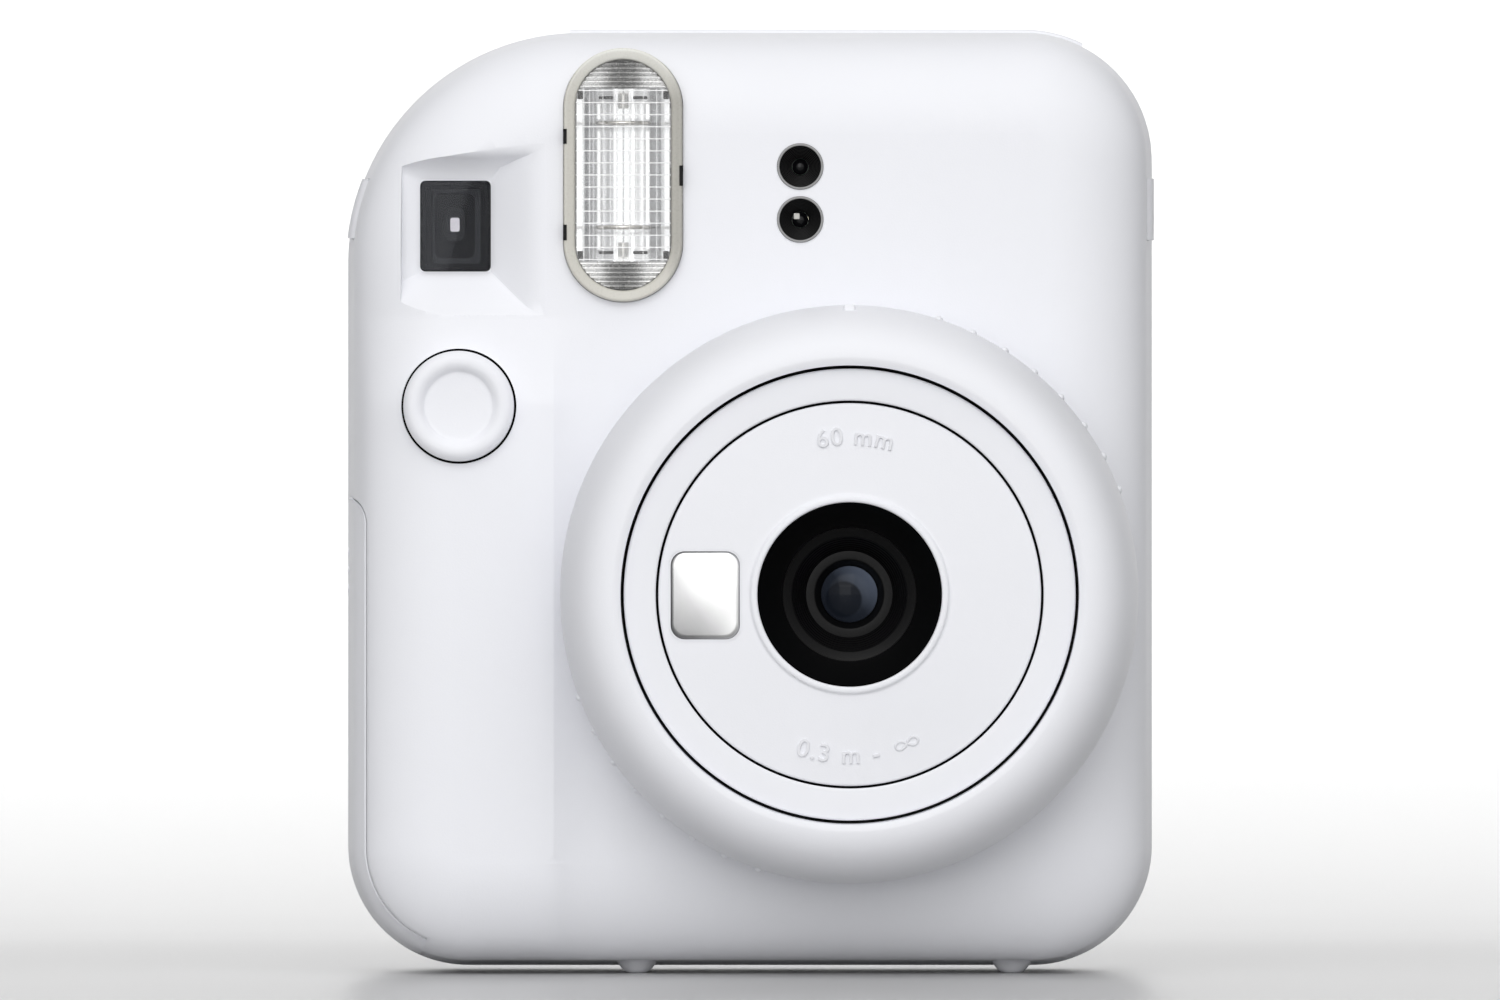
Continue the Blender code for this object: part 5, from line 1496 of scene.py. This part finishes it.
def finishes():
    colours = bpy.context.scene.camera_colours
    black = tuple(colours.moulding)
    low, high = box_mm("battery_front")
    made = {
        "white": moulded("casing_white", colours.casing, 0.46),
        # the figures are a shade darker than the casing: painted shade that sets them off from the face
        "figures": moulded("figure_white_painted_shade", shade(tuple(colours.casing), 0.9), 0.4),
        "black": moulded("moulding_black", black, 0.5, spread=0.2),
        "satin_black": moulded("cone_black", shade(black, 0.25), 0.34, 0.00015, 0.000006, 0.2, 0.15),
        "rail": moulded("finder_rail", (0.075, 0.078, 0.09), 0.5, spread=0.2),
        "pack": moulded("pack_black", (0.02, 0.02, 0.021), 0.55, 0.0004, 0.00002, 0.2),
        "paper": moulded("dark_sheet", (0.05, 0.048, 0.046), 0.7, 0.0003, 0.00001, 0.1),
        "bezel": bezel_painted_light_finish(tuple(colours.bezel)),
        "rim": moulded("grey_rim", (0.28, 0.28, 0.28), 0.3, 0.0003, 0.000003, 0.05),
        "steel": metal("bright_steel", (0.62, 0.62, 0.64), 0.26),
        "pin": metal("pin_steel", (0.55, 0.55, 0.57), 0.22, "z"),
        "electrode": metal("nickel", (0.7, 0.68, 0.64), 0.24, "z"),
        "chrome": reflector_finish(),
        "ribbed": ribbed_finish(),
        "brass": metal("gear_brass", (0.78, 0.58, 0.26), 0.28, "all"),
        "mirror": mirror_painted_reflection_finish(),
        "dark_glass": moulded("dark_glass", (0.004, 0.004, 0.005), 0.12, 0.002, 0.000001, 0.2, 0.25),
        "lit": painted_glow_finish(),
        "pane": finder_pane_painted_reflection(),
        "nylon": moulded("gear_nylon", (0.8, 0.79, 0.74), 0.4, 0.0005, 0.000008, 0.06),
        "ivory": moulded("dial_ivory", (0.82, 0.81, 0.76), 0.45),
        "ink": moulded("printed_black", (0.02, 0.02, 0.02), 0.6),
        "rubber": moulded("soft_rubber", (0.03, 0.03, 0.032), 0.7, 0.0003, 0.00002, 0.2),
        "can": moulded("capacitor_sleeve", (0.02, 0.025, 0.05), 0.3, 0.001, 0.000006, 0.3),
        "clear": clear_plastic("clear_pane", alpha=0.22),
        "amber": clear_plastic("pack_pane", (0.16, 0.15, 0.12), 0.5),
        "tube": clear_plastic("tube_glass", (0.92, 0.95, 0.97), 0.25, 0.01),
        "flash": gridded_flash_lens(),
        "coated": coated_glass_painted_reflection(),
        "board": board_finish(),
        "sleeve": sleeve_finish(low[2], high[2]),
    }
    return made


MADE = {}


def finish_of(name):
    if not MADE:
        MADE.update(finishes())
    return MADE[name]


CARRIED = {  # CAD nodes that keep their shape: the finish each is given
    "satin_black": ["shutter_plate", "shutter_blade"],
    "black": ["battery_holder", "chassis", "lens_mount", "shutter_switch"],
    "steel": ["battery_contact_plate", "battery_spring_front", "battery_spring_rear", "shutter_spring",
              "idler_axle", "eject_motor", "roller_bracket", "pressure_plate", "housing_screw_left",
              "housing_screw_right", "drive_roller", "pressure_roller"],
    "pin": ["door_hinge_pin"], "nylon": ["idler_gear", "roller_gear"], "brass": ["motor_pinion"],
    "board": ["circuit_board"], "can": ["flash_capacitor"], "pack": ["film_pack"],
}


LIGHTS = (  # name, place, size, power
    ("key_above", (-0.15, -1.3, 0.9), 0.9, 3.5),
    ("fill_left", (-0.3, -2.0, 0.3), 0.9, 4.0),
)


def studio_world():
    """Light from all round, stronger from the front and from above than from the sides and below."""
    world = bpy.data.worlds.new("studio")
    world.use_nodes = True
    nodes = Nodes(world.node_tree)
    background = world.node_tree.nodes["Background"]
    direction = nodes.node("ShaderNodeTexCoord")[0]
    x, y, z = nodes.node("ShaderNodeSeparateXYZ", None, {0: direction})[:3]
    level = 0.56 - y * 0.98 + z * 0.24 - x * x * 0.92
    nodes.set(background, {"color": (1.0, 1.0, 1.0, 1.0), "strength": level.at_least(0.06)})
    return world


# ---------------------------------------------------------------- operators


class CAMERA_OT_front_casing(bpy.types.Operator):
    """Make the front casing and the moulded feet"""

    bl_idname, bl_label = "camera.front_casing", "Front casing"
    bl_options = {"REGISTER", "UNDO"}

    def execute(self, context):
        make_front_casing(context.scene.camera_shape, finish_of("white"))
        make_feet(finish_of("white"))
        return {"FINISHED"}


class CAMERA_OT_rear_casing(bpy.types.Operator):
    """Make the rear casing, the exit strip, the flap and the strap lugs"""

    bl_idname, bl_label = "camera.rear_casing", "Rear casing"
    bl_options = {"REGISTER", "UNDO"}

    def execute(self, context):
        make_rear_casing(finish_of("white"), finish_of("black"))
        make_exit_strip(finish_of("white"), finish_of("black"))
        make_lugs(finish_of("white"))
        return {"FINISHED"}


class CAMERA_OT_film_door(bpy.types.Operator):
    """Make the film door with its seal, its latch and the windows at the back"""

    bl_idname, bl_label = "camera.film_door", "Film door"
    bl_options = {"REGISTER", "UNDO"}

    def execute(self, context):
        make_film_door(finish_of("white"), finish_of("black"))
        make_back_details(finish_of("white"), finish_of("amber"), finish_of("ivory"), finish_of("ink"))
        return {"FINISHED"}


class CAMERA_OT_battery_cover(bpy.types.Operator):
    """Make the battery cover and the cells"""

    bl_idname, bl_label = "camera.battery_cover", "Battery cover"
    bl_options = {"REGISTER", "UNDO"}

    def execute(self, context):
        make_battery_cover(context.scene.camera_shape, finish_of("white"))
        make_cells(finish_of("sleeve"))
        return {"FINISHED"}


class CAMERA_OT_dial(bpy.types.Operator):
    """Make the lens dial"""

    bl_idname, bl_label = "camera.dial", "Lens dial"
    bl_options = {"REGISTER", "UNDO"}

    def execute(self, context):
        make_dial(finish_of("white"))
        return {"FINISHED"}


class CAMERA_OT_lens(bpy.types.Operator):
    """Make the lens stages, the glass and the mirror"""

    bl_idname, bl_label = "camera.lens", "Lens"
    bl_options = {"REGISTER", "UNDO"}

    def execute(self, context):
        make_lens_stages(
            finish_of("white"), finish_of("satin_black"), finish_of("coated"), finish_of("mirror"),
            finish_of("figures"),
        )
        return {"FINISHED"}


class CAMERA_OT_flash(bpy.types.Operator):
    """Make the flash"""

    bl_idname, bl_label = "camera.flash", "Flash"
    bl_options = {"REGISTER", "UNDO"}

    def execute(self, context):
        make_flash(
            finish_of("bezel"), finish_of("flash"), finish_of("chrome"), finish_of("ribbed"),
            finish_of("tube"), finish_of("electrode"), finish_of("satin_black"),
        )
        return {"FINISHED"}


class CAMERA_OT_finder(bpy.types.Operator):
    """Make the viewfinder and the light sensors"""

    bl_idname, bl_label = "camera.finder", "Viewfinder and sensors"
    bl_options = {"REGISTER", "UNDO"}

    def execute(self, context):
        make_finder(
            finish_of("satin_black"), finish_of("rail"), finish_of("pane"), finish_of("clear"),
            finish_of("lit"),
        )
        make_sensors(finish_of("satin_black"), finish_of("rim"), finish_of("dark_glass"), finish_of("ivory"))
        return {"FINISHED"}


class CAMERA_OT_button(bpy.types.Operator):
    """Make the release button"""

    bl_idname, bl_label = "camera.button", "Release button"
    bl_options = {"REGISTER", "UNDO"}

    def execute(self, context):
        make_button(context.scene.camera_shape, finish_of("white"), finish_of("satin_black"))
        return {"FINISHED"}


class CAMERA_OT_works(bpy.types.Operator):
    """Make the rollers and the film pack, and finish the CAD pieces that keep their shape"""

    bl_idname, bl_label = "camera.works", "Inner works"
    bl_options = {"REGISTER", "UNDO"}

    def execute(self, context):
        make_rollers(finish_of("steel"), finish_of("rubber"))
        make_film_pack(finish_of("pack"), finish_of("paper"), finish_of("steel"))
        for finish, nodes in CARRIED.items():
            for node in nodes:
                slots = frame["nodes"][node].data.materials
                slots.clear()
                slots.append(finish_of(finish))
        return {"FINISHED"}


class CAMERA_OT_stage(bpy.types.Operator):
    """Make the floor, the lights and the viewing camera"""

    bl_idname, bl_label = "camera.stage", "Stage"
    bl_options = {"REGISTER", "UNDO"}

    def execute(self, context):
        scene = context.scene
        # a wide floor, and behind the object a sheet that curves up out of it
        # the sheet is painted darker grey near the object and in front of it, painted shade, and paler with a
        # painted glow further back
        finish = Finish("sweep_painted_falloff", emission_strength=1.0)
        y = finish.axes()[1]
        span = {0: y, 1: -0.02, 2: 0.5}
        away = finish.node("ShaderNodeMapRange", {"interpolation_type": "SMOOTHSTEP"}, span)[0]
        drift = finish.noise(0.5, 2.0)
        finish.paint(
            base_color=finish.mix(away, (0.52,) * 3, (0.9,) * 3), roughness=away * 0.5 + drift * 0.05 + 0.27,
            emission_color=finish.mix(away, (0.0,) * 3, (0.3,) * 3),
        )
        turn = np.linspace(0, math.pi / 2, 40)
        sheets = {
            "floor": (np.linspace(-2.5, 0.2005, 30), np.zeros(30), 2.5),
            "backdrop": (
                np.concatenate([0.2 + 0.7 * np.sin(turn), [0.9]]),
                np.concatenate([0.7 * (1 - np.cos(turn)), [1.3]]), 0.6,
            ),
        }
        for name, (run, rise, half) in sheets.items():
            across = np.linspace(-half, half, 9)
            points = np.stack(np.broadcast_arrays(across[None], run[:, None], rise[:, None]), -1) / MM
            faces = grid_faces(len(run), len(across), False, False)
            piece(name, points.reshape(-1, 3), faces, None, finish.material)
        scene.world = studio_world()
        for name, place, size, power in LIGHTS:
            data = bpy.data.lights.new(name, "AREA")
            data.shape, data.size, data.energy = "SQUARE", size, power
            lamp = bpy.data.objects.new(name, data)
            scene.collection.objects.link(lamp)
            lamp.location = place
            aim = np.array([0.0, 0.0, 0.06]) - np.array(place)
            level = math.hypot(aim[0], aim[1])
            lamp.rotation_euler = (math.atan2(level, -aim[2]), 0, math.atan2(aim[1], aim[0]) - math.pi / 2)
        view = bpy.data.cameras.new("view")
        distance, frame_width = 2.5, 0.19355
        view.sensor_width = 36.0
        view.lens = view.sensor_width * distance / frame_width
        view.clip_end = 20.0
        camera = bpy.data.objects.new("view", view)
        scene.collection.objects.link(camera)
        camera.location = (0.0, -distance, 0.06105)
        camera.rotation_euler = (math.pi / 2, 0, 0)
        scene.camera = camera
        scene.view_settings.view_transform = "Standard"
        return {"FINISHED"}


class CAMERA_PT_panel(bpy.types.Panel):
    """Lists the pieces"""

    bl_label, bl_idname = "Instant camera", "CAMERA_PT_panel"
    bl_space_type, bl_region_type, bl_category = "VIEW_3D", "UI", "Camera"

    def draw(self, context):
        layout = self.layout
        for group in (context.scene.camera_shape, context.scene.camera_colours):
            for name in group.__annotations__:
                layout.prop(group, name)
        for operator in OPERATORS:
            layout.operator(operator.bl_idname)


OPERATORS = (
    CAMERA_OT_stage, CAMERA_OT_front_casing, CAMERA_OT_rear_casing, CAMERA_OT_film_door,
    CAMERA_OT_battery_cover, CAMERA_OT_dial, CAMERA_OT_lens, CAMERA_OT_flash, CAMERA_OT_finder,
    CAMERA_OT_button, CAMERA_OT_works,
)
CLASSES = (CameraShape, CameraColours, *OPERATORS, CAMERA_PT_panel)


def register():
    for cls in CLASSES:
        bpy.utils.register_class(cls)
    bpy.types.Scene.camera_shape = PointerProperty(type=CameraShape)
    bpy.types.Scene.camera_colours = PointerProperty(type=CameraColours)


def unregister():
    del bpy.types.Scene.camera_colours
    del bpy.types.Scene.camera_shape
    for cls in reversed(CLASSES):
        bpy.utils.unregister_class(cls)


def main():
    register()
    for operator in OPERATORS:
        group, name = operator.bl_idname.split(".")
        getattr(getattr(bpy.ops, group), name)()
    bpy.context.view_layer.update()


if __name__ == "__main__":
    main()
